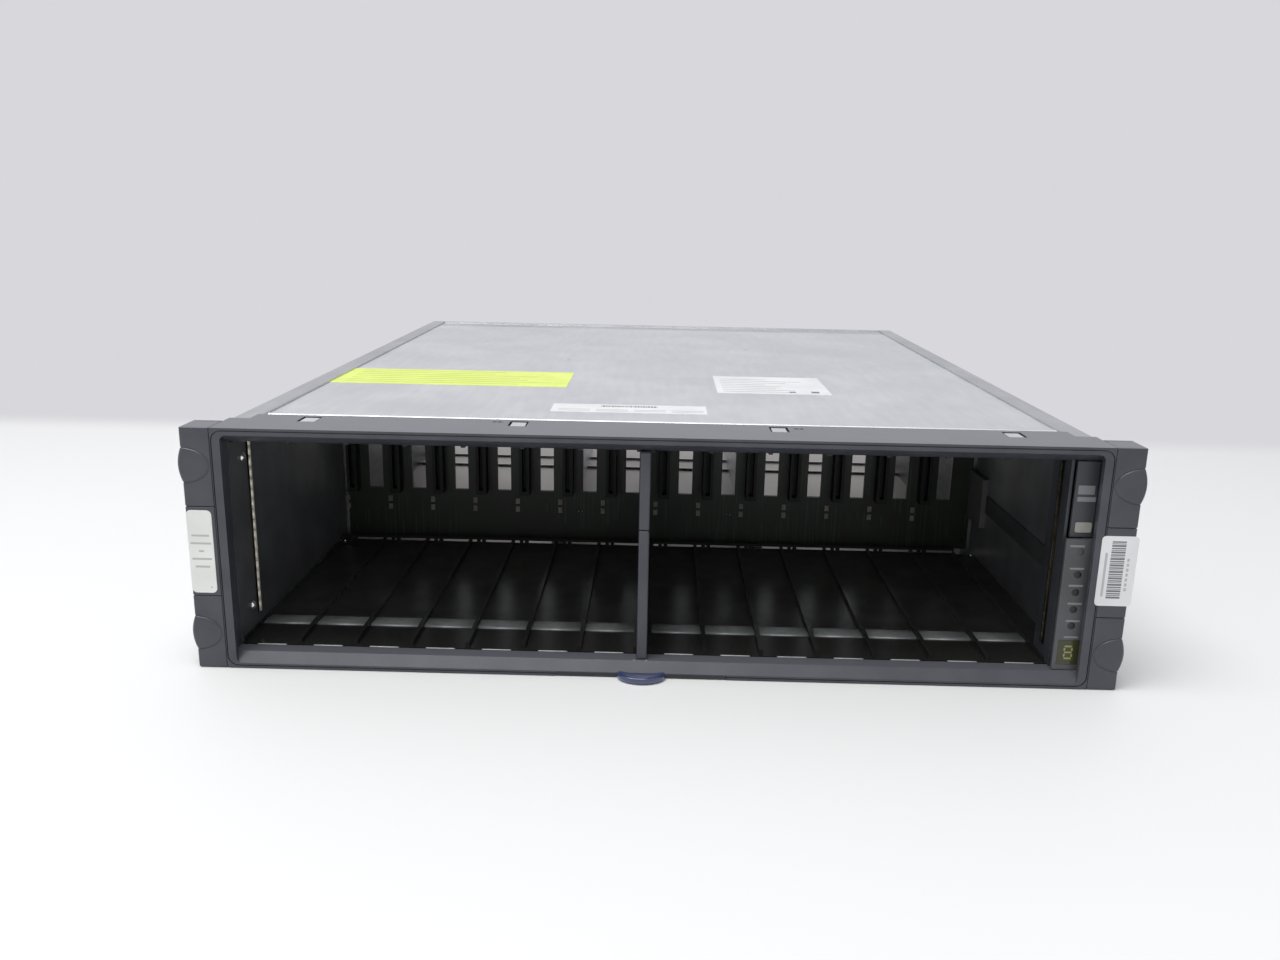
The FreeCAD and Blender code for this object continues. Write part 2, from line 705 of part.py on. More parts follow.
def mullions():
    wide = span(CAGE, "mullion_width")
    deep = (back("mullion_front"), back("mullion_front + mullion_depth"))
    seam = "(mullion_seam)"
    node("mullion_lower", box(wide, deep, (TRAY_TOP, less(seam, "gap / 2"))))
    node("mullion_upper", box(wide, deep, (plus(seam, "gap / 2"), BAY_TOP)))


# ---- bezel ----

def bezel():
    # the outer block, the groove round the raised frame, and the rim's opening
    body = new_body()
    outer = polygon(body, "XZ_Plane", [(minus(plus(FRAME, "gap")), "bezel_lift"),
                                       (plus(FRAME, "gap"), "bezel_lift"),
                                       (plus(FRAME, "gap"), BEZEL_TOP),
                                       (minus(plus(FRAME, "gap")), BEZEL_TOP)])
    pad(body, outer, "bezel_depth")
    place(body, y=FRONT)

    ring_z = ("bezel_lift + frame_border_low", less(BEZEL_TOP, "frame_border_top"))
    groove_y = (less(FRONT, "gap"), plus(FRONT, "groove_depth"))
    ring_out = round_plate((minus(FRAME), FRAME), ring_z, "frame_radius", groove_y[0],
                           less(groove_y[1], groove_y[0]))
    inner = less(FRAME, "groove")
    ring_in = round_plate((minus(inner), inner), (plus(ring_z[0], "groove"), less(ring_z[1], "groove")),
                          "frame_radius - groove", less(groove_y[0], "gap"), "groove_depth + 3 * gap")
    groove = cut(ring_out, [ring_in])

    mouth = round_plate((minus(OPENING), OPENING), ("opening_low", HEAD_FRONT), "rim_radius",
                        less(FRONT, "gap"), "rim_depth + 2 * gap")
    slope = [(less(FRONT, "gap"), less("opening_low", "gap")),
             (FRONT, "opening_low"), (back("sill_run"), TRAY_TOP),
             (back("bezel_depth + gap"), TRAY_TOP), (back("bezel_depth + gap"), HEAD_BACK),
             (back("head_run"), HEAD_BACK), (FRONT, HEAD_FRONT),
             (less(FRONT, "gap"), plus(HEAD_FRONT, "gap"))]
    tunnel = prism("YZ_Plane", slope, minus(FACE), f"2 * {FACE}")
    mouth_cut = common(mouth, box((minus(FACE), FACE), (less(FRONT, "2 * gap"), back("rim_depth")),
                                  ("0", BEZEL_TOP)))
    behind = common(tunnel, box((minus(FACE), FACE), (back("rim_depth"), back("bezel_depth + 2 * gap")),
                                ("0", BEZEL_TOP)))
    rim_cut = common(mouth_cut, prism("YZ_Plane", slope, minus(FACE), f"2 * {FACE}"))

    # the slot that the card slides out of, open at the bottom
    card_slot = box(span(CAGE, "card_width + 2 * gap"), (less(FRONT, "gap"), back("bezel_depth + gap")),
                    (less("bezel_lift", "gap"), plus("bezel_lift", "card_lip + gap / 2")))
    shell = cut(body, [groove, rim_cut, behind, card_slot])

    flange_z = (less(BEZEL_TOP, "bezel_wall"), BEZEL_TOP)
    narrow = less(RAIL_INNER, "gap")
    flange = [box((minus(plus(FRAME, "gap")), plus(FRAME, "gap")),
                  (back("bezel_depth"), back("rail_front - gap")), flange_z),
              box((minus(narrow), narrow), (back("bezel_depth"), back("bezel_flange")), flange_z)]
    slots = [box(span(x, "hook_width + 2 * hook_clearance"),
                 (back("hook_front - hook_clearance"), back("hook_front + hook_length + hook_clearance")),
                 (less(flange_z[0], "gap"), plus(flange_z[1], "gap")))
             for x in HOOKS]
    node("bezel_frame", fuse([shell, cut(fuse(flange), slots)]))


def ear_shell(side, low, high, oval_z=None):
    """One moulded length of an ear, open towards the rack flange."""
    inner = plus(FRAME, "2 * gap")
    deep = (FRONT, back("flange_front - gap"))
    skin = box(sided(side, inner, EAR), deep, (low, high))
    if oval_z:
        # the finger grip bulges past the ear's edge as a shallow arc
        radius = "((oval_height ^ 2 / 4 + oval_reach ^ 2) / (2 * oval_reach))"
        centre = f"({side} * ({EAR} + oval_reach - {radius}))"
        arc = rod(radius, (centre, back("gap"), oval_z), "oval_depth", "y")
        reach = box(sided(side, less(EAR, "gap"), plus(EAR, "oval_reach")),
                    (FRONT, back("oval_depth + gap")), span(oval_z, "oval_height"))
        skin = fuse([skin, common(arc, reach)])
    hollow = box(sided(side, plus(inner, "ear_wall"), less(EAR, "ear_wall")),
                 (back("ear_wall"), back("flange_front")),
                 (plus(low, "ear_wall"), less(high, "ear_wall")))
    return cut(skin, [hollow])


def ears():
    for side, name in ((-1, "left"), (1, "right")):
        node(f"ear_middle_{name}",
             ear_shell(side, plus("cap_low", "gap / 2"), less("cap_high", "gap / 2")))
        node(f"ear_cap_lower_{name}",
             ear_shell(side, "bezel_lift", less("cap_low", "gap / 2"), "rack_hole_low"))
        node(f"ear_cap_upper_{name}",
             ear_shell(side, plus("cap_high", "gap / 2"), BEZEL_TOP,
                       "(rack_hole_low + rack_hole_pitch)"))


# ---- operator panel ----

def operator_panel():
    seam = "panel_seam"
    right = less(FACE, "gap")
    lamp_x = less(FACE, "led_inset")
    lower_y = (back("lower_plate_front"), back("lower_plate_front + panel_plate"))
    upper_y = (back("upper_plate_front"), back("upper_plate_front + panel_plate"))
    through = (less(lower_y[0], "gap"), plus(lower_y[1], "gap"))
    window_x = span(lamp_x, "window_side")
    window_z = ("display_low", "display_low + window_tall")

    holes = [rod("led_radius + gap / 3", (lamp_x, through[0], z), "panel_plate + 2 * gap", "y")
             for z in LAMPS]
    holes.append(box((less(window_x[0], "gap / 3"), plus(window_x[1], "gap / 3")), through,
                     (less(window_z[0], "gap / 3"), plus(window_z[1], "gap / 3"))))
    node("operator_plate_lower",
         cut(box((PANEL_LEFT, right), lower_y, (plus(TRAY_TOP, "gap"), seam)), holes))
    node("operator_plate_upper",
         box((plus(PANEL_LEFT, "upper_plate_inset"), right), upper_y,
             (plus(seam, "gap / 2"), less(BAY_TOP, "gap"))))
    badge_left = plus(PANEL_LEFT, "upper_plate_inset + badge_inset")
    badge_low = plus(seam, "badge_rise")
    node("badge_plate", round_plate((badge_left, plus(badge_left, "badge_width")),
                                    (badge_low, plus(badge_low, "badge_height")), "badge_radius",
                                    less(upper_y[0], "clip_gauge"), "clip_gauge"))

    circuit_y = (back("circuit_front"), back("circuit_front + circuit"))
    lamps = [rod("led_radius", (lamp_x, plus(lower_y[0], "gap"), z),
                 less(circuit_y[0], lower_y[0], "gap"), "y") for z in LAMPS]
    node("led_lenses", group(lamps))
    window_back = plus(lower_y[0], "gap / 3 + window_gauge")
    node("display_window", box(window_x, (plus(lower_y[0], "gap / 3"), window_back), window_z))
    node("display_module", box(window_x, (plus(window_back, "gap"), circuit_y[0]), window_z))
    node("operator_board", box((plus(PANEL_LEFT, "housing_wall + gap"), less(right, "gap")), circuit_y,
                               (plus(TRAY_TOP, "2 * gap"), less(BAY_TOP, "2 * gap"))))

    # a C-shaped shroud behind the plates, open towards the right liner
    left, wall = PANEL_LEFT, "housing_wall"
    y0, y1 = plus(upper_y[1], "gap"), back("housing_back")
    inner = plus(left, wall)
    far = less(FACE, "gap + rivet_head")
    outline = [(left, y0), (inner, y0), (inner, less(y1, wall)), (far, less(y1, wall)), (far, y1), (left, y1)]
    node("operator_housing",
         prism("XY_Plane", outline, plus(TRAY_TOP, "gap"), less(BAY_TOP, TRAY_TOP, "2 * gap")))

    # the harness from the panel's board runs back along the right liner
    box_y = (back("board_front - harness_depth"), back("board_front - gap"))
    tall = ("harness_low", "harness_low + harness_height")
    node("harness_connector", box((less(FACE, "harness_width"), less(FACE, "gap / 3")), box_y, tall))
    node("operator_cable", box((less(FACE, "ribbon"), less(FACE, "gap / 3")),
                               (back("circuit_front + circuit"), less(box_y[0], "gap / 3")),
                               span("harness_low + harness_height / 2", "ribbon_width")))


# ---- pull-out card ----

def pull_card():
    low = "bezel_lift"
    lip_top = plus(low, "card_lip")
    wide = span(CAGE, "card_width")
    sheet_low = "steel + gap"
    lip = box(wide, (back("gap"), back("card_lip_depth")), (low, lip_top))
    leaf = box(wide, (back("gap"), back("card_length")), (sheet_low, plus(sheet_low, "card")))
    node("pull_card", fuse([lip, leaf]))

    # the grip is a flat tongue with a round front, glued to the card's front strip
    radius = "((grip_width ^ 2 / 4 + grip_reach ^ 2) / (2 * grip_reach))"
    disc = rod(radius, (CAGE, f"({FRONT} - grip_reach + {radius})", low), "grip_height", "z")
    front = box(span(CAGE, "grip_width"), (less(FRONT, "grip_reach"), FRONT),
                (low, plus(low, "grip_height")))
    tail = box(span(CAGE, "grip_width - 4 * gap"), (less(FRONT, "gap"), back("gap")), (low, lip_top))
    node("pull_grip", fuse([common(disc, front), tail]))

    # two low rails on the floor keep the card straight
    rails = [box(x, (back("chassis_front"), back("card_length + chassis_front")),
                 ("steel", plus(sheet_low, "card + 2 * gap")))
             for x in ((less(wide[0], "gap + runner"), less(wide[0], "gap")),
                       (plus(wide[1], "gap"), plus(wide[1], "gap + runner")))]
    node("card_runner", group(rails))


# ---- stickers and small fasteners ----

def labels():
    skin = (less(FRONT, "label"), FRONT)
    node("ear_label", round_plate((minus(less(EAR, "gap")), minus(plus(HALF, "3 * gap"))),
                                  ("ear_label_low", "ear_label_low + ear_label_height"),
                                  "ear_label_corner", skin[0], "label"))
    node("asset_label", round_plate((less(FRAME, "asset_lap"), plus(EAR, "asset_lap")),
                                    ("asset_low", "asset_low + asset_height"), "asset_corner",
                                    skin[0], "label"))
    top = (RAIL_LOW, plus(RAIL_LOW, "label"))
    for word, name, left in (("caution", "caution_label", minus(RAIL_INNER)),
                             ("bars", "bar_label", "bars_x"), ("spec", "spec_label", "spec_x")):
        node(name, box((left, plus(left, f"{word}_width")),
                       (back(f"{word}_start"), back(f"{word}_start + {word}_depth")), top))


def cover_rivets():
    heads = [rod("rivet_radius", (f"({side} * (module_half + divider_flange / 2))",
                                  back(f"rivet_row_{row}"), RAIL_LOW), "rivet_head / 2", "z")
             for side in (-1, 1) for row in ("front", "middle", "rear")]
    node("cover_rivets", group(heads))


chassis()
top_cover()
dividers()
identity_switch()
midplane()
trays()
liners()
gaskets()
mullions()
bezel()
ears()
operator_panel()
pull_card()
labels()
cover_rivets()
doc.recompute()

# ---- checks and export ----

broken = [one.Label for one in doc.Objects if {"Invalid", "Error"} & set(one.State)]
for label, thing in nodes.items():
    if thing.Shape.isNull() or not thing.Shape.isValid() or not thing.Shape.Solids:
        broken.append(label)
if broken:
    raise SystemExit(f"failed pieces: {broken}")

os.makedirs("parts", exist_ok=True)
for label, thing in nodes.items():
    thing.Shape.exportStep(f"parts/{label}.step")
print(len(nodes), "pieces written")
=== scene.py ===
import json
from math import pi, radians

import bmesh
import bpy
import numpy as np
from mathutils import Matrix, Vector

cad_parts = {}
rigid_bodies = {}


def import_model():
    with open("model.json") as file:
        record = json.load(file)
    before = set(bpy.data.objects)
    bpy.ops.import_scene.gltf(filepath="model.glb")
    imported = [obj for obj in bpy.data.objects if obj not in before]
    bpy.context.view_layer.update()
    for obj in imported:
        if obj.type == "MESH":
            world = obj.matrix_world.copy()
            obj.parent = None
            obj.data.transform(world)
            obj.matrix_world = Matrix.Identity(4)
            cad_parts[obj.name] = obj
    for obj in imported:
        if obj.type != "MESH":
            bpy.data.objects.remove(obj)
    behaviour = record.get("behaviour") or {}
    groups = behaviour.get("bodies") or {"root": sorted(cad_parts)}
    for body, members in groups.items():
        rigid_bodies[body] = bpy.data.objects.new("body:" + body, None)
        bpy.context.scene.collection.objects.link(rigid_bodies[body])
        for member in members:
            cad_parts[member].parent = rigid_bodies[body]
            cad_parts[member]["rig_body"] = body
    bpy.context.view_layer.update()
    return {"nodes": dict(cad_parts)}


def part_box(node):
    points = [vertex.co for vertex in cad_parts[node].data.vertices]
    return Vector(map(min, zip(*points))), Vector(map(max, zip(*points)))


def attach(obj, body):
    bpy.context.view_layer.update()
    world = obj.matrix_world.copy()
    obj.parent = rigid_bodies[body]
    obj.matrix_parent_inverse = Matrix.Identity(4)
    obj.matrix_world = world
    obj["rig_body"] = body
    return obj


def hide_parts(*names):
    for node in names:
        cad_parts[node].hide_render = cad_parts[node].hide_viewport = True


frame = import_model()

nodes = frame["nodes"]


# ---- Camera
# It stands in front of the shelf, a little above its top edge, looks slightly down
# and leans about one degree to the left.

view = bpy.data.cameras.new("view")
view.sensor_width = 36.0
view.lens = 29.916
camera = bpy.data.objects.new("view", view)
bpy.context.collection.objects.link(camera)
camera.matrix_world = (Matrix.Translation((-0.00152, -0.77464, 0.23485))
                       @ Matrix.Rotation(radians(0.8895), 4, "Z")
                       @ Matrix.Rotation(radians(90 - 14.1972), 4, "X")
                       @ Matrix.Rotation(radians(1.0962), 4, "Z"))
bpy.context.scene.camera = camera
bpy.context.scene.view_settings.view_transform = "Standard"


# ---- Studio
# A white laminate table under a soft box that hangs in front of it, in a pale room with its
# window on the left. The far part of the table is a soft grey, like a cloth hung behind it.

def linear(code):
    """An sRGB hex colour as linear red, green and blue, with an alpha of 1."""
    part = np.array([int(code[k:k + 2], 16) for k in (1, 3, 5)]) / 255
    return (*np.where(part <= 0.04045, part / 12.92, ((part + 0.055) / 1.055) ** 2.4), 1.0)


def add(owner, kind, settings=None, links=None):
    """Adds a shader node, sets its properties and sockets by name, and links its sockets."""
    tree = owner.node_tree
    node = tree.nodes.new("ShaderNode" + kind)
    for key, value in (settings or {}).items():
        if isinstance(key, str) and hasattr(node, key):
            setattr(node, key, value)
        else:
            node.inputs[key].default_value = value
    for key, source in (links or {}).items():
        tree.links.new(source, node.inputs[key])
    return node


def ramp(owner, source, *stops):
    """Turns a value into colours by (position, hex) stops."""
    node = add(owner, "ValToRGB", links={"Fac": source})
    elements = node.color_ramp.elements
    while len(elements) < len(stops):
        elements.new(0.5)
    for element, (position, code) in zip(elements, stops):
        element.position = position
        element.color = linear(code)
    return node.outputs["Color"]


def finish(name, colour, roughness, **sockets):
    """A material with one Principled shader; its even values are set on the shader's sockets."""
    material = bpy.data.materials.new(name)
    material.use_nodes = True
    shader = material.node_tree.nodes["Principled BSDF"]
    settings = {"Base Color": linear(colour), "Roughness": roughness}
    settings.update({key.replace("_", " "): value for key, value in sockets.items()})
    for key, value in settings.items():
        shader.inputs[key].default_value = value
    return material, shader


def join(material, source, shader, socket):
    material.node_tree.links.new(source, shader.inputs[socket])


def grid_mesh(name, points, around=False):
    """Points of a grid, rows by columns, as quads; around closes each row into a ring."""
    rows, columns = points.shape[:2]
    index = np.arange(rows * columns).reshape(rows, columns)
    if around:
        index = np.concatenate([index, index[:, :1]], axis=1)
    quads = np.stack([index[:-1, :-1], index[:-1, 1:], index[1:, 1:], index[1:, :-1]], axis=-1)
    mesh = bpy.data.meshes.new(name)
    mesh.from_pydata(points.reshape(-1, 3).tolist(), [], quads.reshape(-1, 4).tolist())
    return mesh


def table_top(half_width, front, rear, steps):
    """A level sheet: x runs from side to side and y from front to rear, at height 0."""
    x = np.linspace(-half_width, half_width, steps)
    y = np.linspace(front, rear, steps)
    across, along = np.meshgrid(x, y)
    return np.stack([across, along, np.zeros_like(across)], axis=-1)


def seen(owner):
    """1 for rays that come straight from the view or by way of metal and glass, otherwise 0."""
    rays = add(owner, "LightPath").outputs
    mirrored = add(owner, "Math", {"operation": "MAXIMUM"},
                   {0: rays["Is Glossy Ray"], 1: rays["Is Transmission Ray"]}).outputs["Value"]
    return add(owner, "Math", {"operation": "MAXIMUM"},
               {0: rays["Is Camera Ray"], 1: mirrored}).outputs["Value"]


CLOTH = "#d8d7dc"
CLOTH_START, CLOTH_FULL = 0.31, 0.40

# laminate is a matt, even white; from CLOTH_START back it blends into the cloth's grey
laminate, laminate_shader = finish("white_laminate", "#f3f3f2", 0.55)
spot = add(laminate, "TexCoord").outputs["Object"]
depth_along = add(laminate, "SeparateXYZ", links={"Vector": spot}).outputs["Y"]
far_part = add(laminate, "MapRange", {"From Min": CLOTH_START, "From Max": CLOTH_FULL,
                                      "interpolation_type": "SMOOTHSTEP"},
               {"Value": depth_along}).outputs["Result"]
cloth_share = add(laminate, "Math", {"operation": "MULTIPLY"},
                  {0: far_part, 1: seen(laminate)}).outputs["Value"]
cloth = add(laminate, "Emission", {"Color": linear(CLOTH), "Strength": 1.0}).outputs["Emission"]
either = add(laminate, "MixShader",
             links={"Fac": cloth_share, 1: laminate_shader.outputs["BSDF"], 2: cloth})
surface = laminate.node_tree.nodes["Material Output"].inputs["Surface"]
laminate.node_tree.links.new(either.outputs["Shader"], surface)

table = bpy.data.objects.new("table_top", grid_mesh("table_top", table_top(6.0, -6.0, 6.0, 9)))
bpy.context.collection.objects.link(table)
table.data.materials.append(laminate)

room = bpy.data.worlds.new("pale_room")
bpy.context.scene.world = room
room.use_nodes = True
walls = room.node_tree.nodes["Background"]
walls.inputs["Color"].default_value = linear(CLOTH)
walls.inputs["Strength"].default_value = 1.0
toward = add(room, "TexCoord").outputs["Generated"]
sideways = add(room, "SeparateXYZ", links={"Vector": toward}).outputs["X"]
window_side = add(room, "MapRange", {"From Min": -1.0, "From Max": 1.0},
                  {"Value": sideways}).outputs["Result"]
daylight = add(room, "Background", {"Strength": 0.82},
               {"Color": ramp(room, window_side, (0.0, "#ebecee"), (1.0, "#b2b3ba"))})
either = add(room, "MixShader", links={"Fac": seen(room), 1: daylight.outputs["Background"],
                                       2: walls.outputs["Background"]})
surface = room.node_tree.nodes["World Output"].inputs["Surface"]
room.node_tree.links.new(either.outputs["Shader"], surface)

soft_box = bpy.data.lights.new("soft_box", "AREA")
soft_box.shape = "RECTANGLE"
soft_box.size = 1.5
soft_box.size_y = 1.0
soft_box.energy = 27.0
lamp = bpy.data.objects.new("soft_box", soft_box)
bpy.context.collection.objects.link(lamp)
lamp.matrix_world = (Matrix.Translation((-0.42, -0.64, 1.85)) @ Matrix.Rotation(radians(15), 4, "X")
                     @ Matrix.Rotation(radians(-12), 4, "Y"))


# ---- Folded chassis
# Floor, side walls, crossmembers, dividers and brackets of 1.2 mm electro-galvanised steel,
# cut and folded, and riveted together. The zinc is matt, with faint streaks along the rolling.

def dress(material, *names):
    """Gives frame nodes a material in place of their plain one."""
    for name in names:
        nodes[name].data.materials.clear()
        nodes[name].data.materials.append(material)


def put(name, mesh, material, body="enclosure"):
    """Makes a finished mesh a piece of the scene that rides on a body."""
    mesh.materials.append(material)
    piece = bpy.data.objects.new(name, mesh)
    bpy.context.collection.objects.link(piece)
    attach(piece, body)
    return piece


def soften(node, material, width, steps=2):
    """A copy of a frame node with its sharp edges rounded by width, which stands for it."""
    mesh = nodes[node].data.copy()
    work = bmesh.new()
    work.from_mesh(mesh)
    bmesh.ops.remove_doubles(work, verts=work.verts, dist=1e-6)
    bmesh.ops.dissolve_limit(work, angle_limit=radians(0.5), verts=work.verts, edges=work.edges)
    work.to_mesh(mesh)
    work.free()
    if "custom_normal" in mesh.attributes:
        mesh.attributes.remove(mesh.attributes["custom_normal"])
    mesh.materials.clear()
    mesh.shade_smooth()
    piece = put(node + "_worked", mesh, material, nodes[node]["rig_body"])
    edge = piece.modifiers.new("rounded_edges", "BEVEL")
    edge.width = width
    edge.segments = steps
    edge.limit_method = "ANGLE"
    edge.angle_limit = radians(32)
    edge.harden_normals = True
    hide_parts(node)
    return piece


def zinc_sheet(name, light, dark, roughness):
    """Electro-galvanised steel: clouds of a slightly different grey, stretched along the rolling."""
    material, shader = finish(name, light, roughness, Metallic=0.85)
    place = add(material, "TexCoord").outputs["Object"]
    rolled = add(material, "Mapping", {"Scale": (1.0, 0.12, 1.0)}, {"Vector": place}).outputs["Vector"]
    streaks = add(material, "TexNoise", {"Scale": 1000 / 4, "Detail": 3.0}, {"Vector": rolled})
    clouds = add(material, "TexNoise", {"Scale": 1000 / 70, "Detail": 5.0, "Roughness": 0.6},
                 {"Vector": place})
    both = add(material, "MixRGB", {"Fac": 0.35},
               {"Color1": clouds.outputs["Fac"], "Color2": streaks.outputs["Fac"]}).outputs["Color"]
    join(material, ramp(material, both, (0.35, dark), (0.62, light)), shader, "Base Color")
    wipe = add(material, "MapRange", {"From Min": 0.3, "From Max": 0.7, "To Min": roughness - 0.06,
                                      "To Max": roughness + 0.1}, {"Value": both}).outputs["Result"]
    join(material, wipe, shader, "Roughness")
    skin = add(material, "Bump", {"Strength": 0.35, "Distance": 0.00003},
               {"Height": streaks.outputs["Fac"]}).outputs["Normal"]
    join(material, skin, shader, "Normal")
    return material


FOLD_EDGE = 0.0003
chassis_zinc = zinc_sheet("electro_galvanised_steel", "#ced1d2", "#bcbfc1", 0.40)
for name in ("rear_crossmember", "divider_left", "divider_right", "module_crossbar"):
    soften(name, chassis_zinc, FOLD_EDGE)
dress(chassis_zinc, "module_guides", "latch_rails", "midplane_bracket_left", "midplane_bracket_right")

# the floor's zinc has no passivation, so it is a little warmer and duller
floor_zinc = zinc_sheet("unpassivated_zinc_floor", "#c4c0ba", "#b5b1ab", 0.46)
dress(floor_zinc, "chassis_floor")

# the side walls' inner faces below the rail carry painted shade: dark up to just behind the
# midplane, lighter towards the open rear
SHADE_END, RAIL_DEPTH = 0.26, 0.0018
wall_zinc = zinc_sheet("side_wall_zinc", "#c4c7c8", "#b2b5b7", 0.40)
wall_shader = wall_zinc.node_tree.nodes["Principled BSDF"]
wall_place = add(wall_zinc, "TexCoord").outputs["Object"]
wall_spot = add(wall_zinc, "SeparateXYZ", links={"Vector": wall_place}).outputs
off_centre = add(wall_zinc, "Math", {"operation": "ABSOLUTE"}, {0: wall_spot["X"]}).outputs["Value"]
wall_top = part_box("side_wall_right")[1].z
inner_face = max(corner.co.x for corner in nodes["chassis_floor"].data.vertices) + 0.0003
inward = add(wall_zinc, "Math", {"operation": "LESS_THAN", 1: inner_face},
             {0: off_centre}).outputs["Value"]
under_rail = add(wall_zinc, "Math", {"operation": "LESS_THAN", 1: wall_top - RAIL_DEPTH},
                 {0: wall_spot["Z"]}).outputs["Value"]
shade_share = add(wall_zinc, "Math", {"operation": "MULTIPLY"},
                 {0: inward, 1: under_rail}).outputs["Value"]
plated = wall_shader.inputs["Base Color"].links[0].from_socket
to_rear = add(wall_zinc, "MapRange", {"From Min": 0.0, "From Max": SHADE_END},
              {"Value": wall_spot["Y"]}).outputs["Result"]
# painted shade, from dark at the front to lighter at the open rear
inner_shade_tone = ramp(wall_zinc, to_rear, (0.0, "#232423"), (0.8, "#505251"), (1.0, "#8f9191"))
shaded_wall_tone = add(wall_zinc, "MixRGB", links={"Fac": shade_share, "Color1": plated, "Color2": inner_shade_tone})
join(wall_zinc, shaded_wall_tone.outputs["Color"], wall_shader, "Base Color")
for name in ("side_wall_left", "side_wall_right"):
    soften(name, wall_zinc, FOLD_EDGE)


# ---- Top cover
# One sheet of the same steel, given a paler grey as painted light for the bright room it
# reflects. Its front edge is rolled into a hem, and six flat rivets hold the dividers under it.

# painted light: the cover's zinc is paler than the chassis steel's
cover_zinc = zinc_sheet("pale_zinc_cover_painted_light", "#e0e2e3", "#d5d8da", 0.42)
for name in ("top_cover", "front_crossmember"):
    soften(name, cover_zinc, FOLD_EDGE)
dress(cover_zinc, "cover_rivets")


# ---- Guide trays
# Two injection-moulded trays of glossy black polycarbonate blend, one under and one over
# the drives, with a rib at each side of every bay. A sheet of it parts the two blocks.

def moulded(name, light, dark, roughness, grain, depth, **sockets):
    """Moulded plastic: soft clouds of a near tone and a fine skin of grains, in millimetres."""
    material, shader = finish(name, light, roughness, **sockets)
    place = add(material, "TexCoord").outputs["Object"]
    clouds = add(material, "TexNoise", {"Scale": 1000 / 22, "Detail": 4.0}, {"Vector": place})
    tone = ramp(material, clouds.outputs["Fac"], (0.36, dark), (0.64, light))
    join(material, tone, shader, "Base Color")
    grains = add(material, "TexNoise", {"Scale": 1000 / grain, "Detail": 2.0}, {"Vector": place})
    skin = add(material, "Bump", {"Strength": 0.6, "Distance": depth / 1000},
               {"Height": grains.outputs["Fac"]}).outputs["Normal"]
    join(material, skin, shader, "Normal")
    return material


def depth_light_and_shade(material, start, end, front, back):
    """Painted light and shade by depth: the colour is multiplied by front up to start and by back
    from end on, along y."""
    shader = material.node_tree.nodes["Principled BSDF"]
    place = add(material, "TexCoord").outputs["Object"]
    depth = add(material, "SeparateXYZ", links={"Vector": place}).outputs["Y"]
    share = add(material, "MapRange", {"From Min": start, "From Max": end, "To Min": front,
                                       "To Max": back}, {"Value": depth}).outputs["Result"]
    plain = shader.inputs["Base Color"].links[0].from_socket
    toned = add(material, "VectorMath", {"operation": "SCALE"},
                {0: plain, "Scale": share}).outputs["Vector"]
    join(material, toned, shader, "Base Color")


# polished tools leave the trays glossy, so the windows' light lies on them as soft streaks
tray_plastic = moulded("gloss_black_polycarbonate", "#3c3c3a", "#353533", 0.2, 5.0, 0.02,
                       Specular_IOR_Level=0.26)
# painted shade halves the colour at the mouth, and painted light nearly doubles it further in
depth_light_and_shade(tray_plastic, -0.226, -0.195, 0.5, 1.9)
dress(tray_plastic, "guide_tray_lower", "guide_tray_upper")
partition_plastic = moulded("satin_black_polycarbonate", "#2c2c2c", "#252525", 0.38, 2.0, 0.01)
dress(partition_plastic, "centre_partition")


# ---- Earthing springs
# Leaves of nickel-plated spring steel lie across each bay, and a small bead of it stands at the
# lower tray's lip. Fingers of beryllium copper, rolled to an arch, run up both sides of the bays.

def bright_metal(name, light, dark, roughness, metallic=1.0):
    """Plated spring metal: even, with faint handling marks."""
    material, shader = finish(name, light, roughness, Metallic=metallic)
    place = add(material, "TexCoord").outputs["Object"]
    marks = add(material, "TexNoise", {"Scale": 1000 / 6, "Detail": 3.0}, {"Vector": place})
    tone = ramp(material, marks.outputs["Fac"], (0.35, dark), (0.6, light))
    join(material, tone, shader, "Base Color")
    return material


def joined(name, grids, around=False, closed=True):
    """Several grids of points as one mesh, its doubles merged; closed fills every open rim."""
    work = bmesh.new()
    for points in grids:
        work.from_mesh(grid_mesh(name, points, around))
    bmesh.ops.remove_doubles(work, verts=work.verts, dist=1e-7)
    if closed:
        open_edges = [edge for edge in work.edges if edge.is_boundary]
        bmesh.ops.holes_fill(work, edges=open_edges, sides=0)
        bmesh.ops.recalc_face_normals(work, faces=work.faces)
    mesh = bpy.data.meshes.new(name)
    work.to_mesh(mesh)
    work.free()
    mesh.shade_smooth()
    return mesh


def centres(node, parts):
    """The middle of each separate solid of a frame node, sorted, from its joined-up corners."""
    work = bmesh.new()
    work.from_mesh(nodes[node].data)
    bmesh.ops.remove_doubles(work, verts=work.verts, dist=1e-6)
    left = set(work.verts)
    found = []
    while left:
        island, edge = set(), [left.pop()]
        while edge:
            corner = edge.pop()
            island.add(corner)
            near = {other for link in corner.link_edges for other in link.verts} & left
            left -= near
            edge.extend(near)
        places = np.array([corner.co for corner in island])
        found.append((places.min(0) + places.max(0)) / 2)
    work.free()
    assert len(found) == parts, (node, len(found))
    return sorted(found, key=tuple)


def drawn(outline, axis, stations, swell=None):
    """A bar: one closed outline, in the two other axes in order, at each station along the axis.
    Where swell is given, the outline is that much of its size round its own middle."""
    outline = np.asarray(outline)
    swell = np.ones(len(stations)) if swell is None else np.asarray(swell)
    middle = outline.mean(0)
    rings = np.empty((len(stations), len(outline), 3))
    rings[..., axis] = np.asarray(stations)[:, None]
    rings[..., [k for k in range(3) if k != axis]] = middle + swell[:, None, None] * (outline - middle)
    return rings


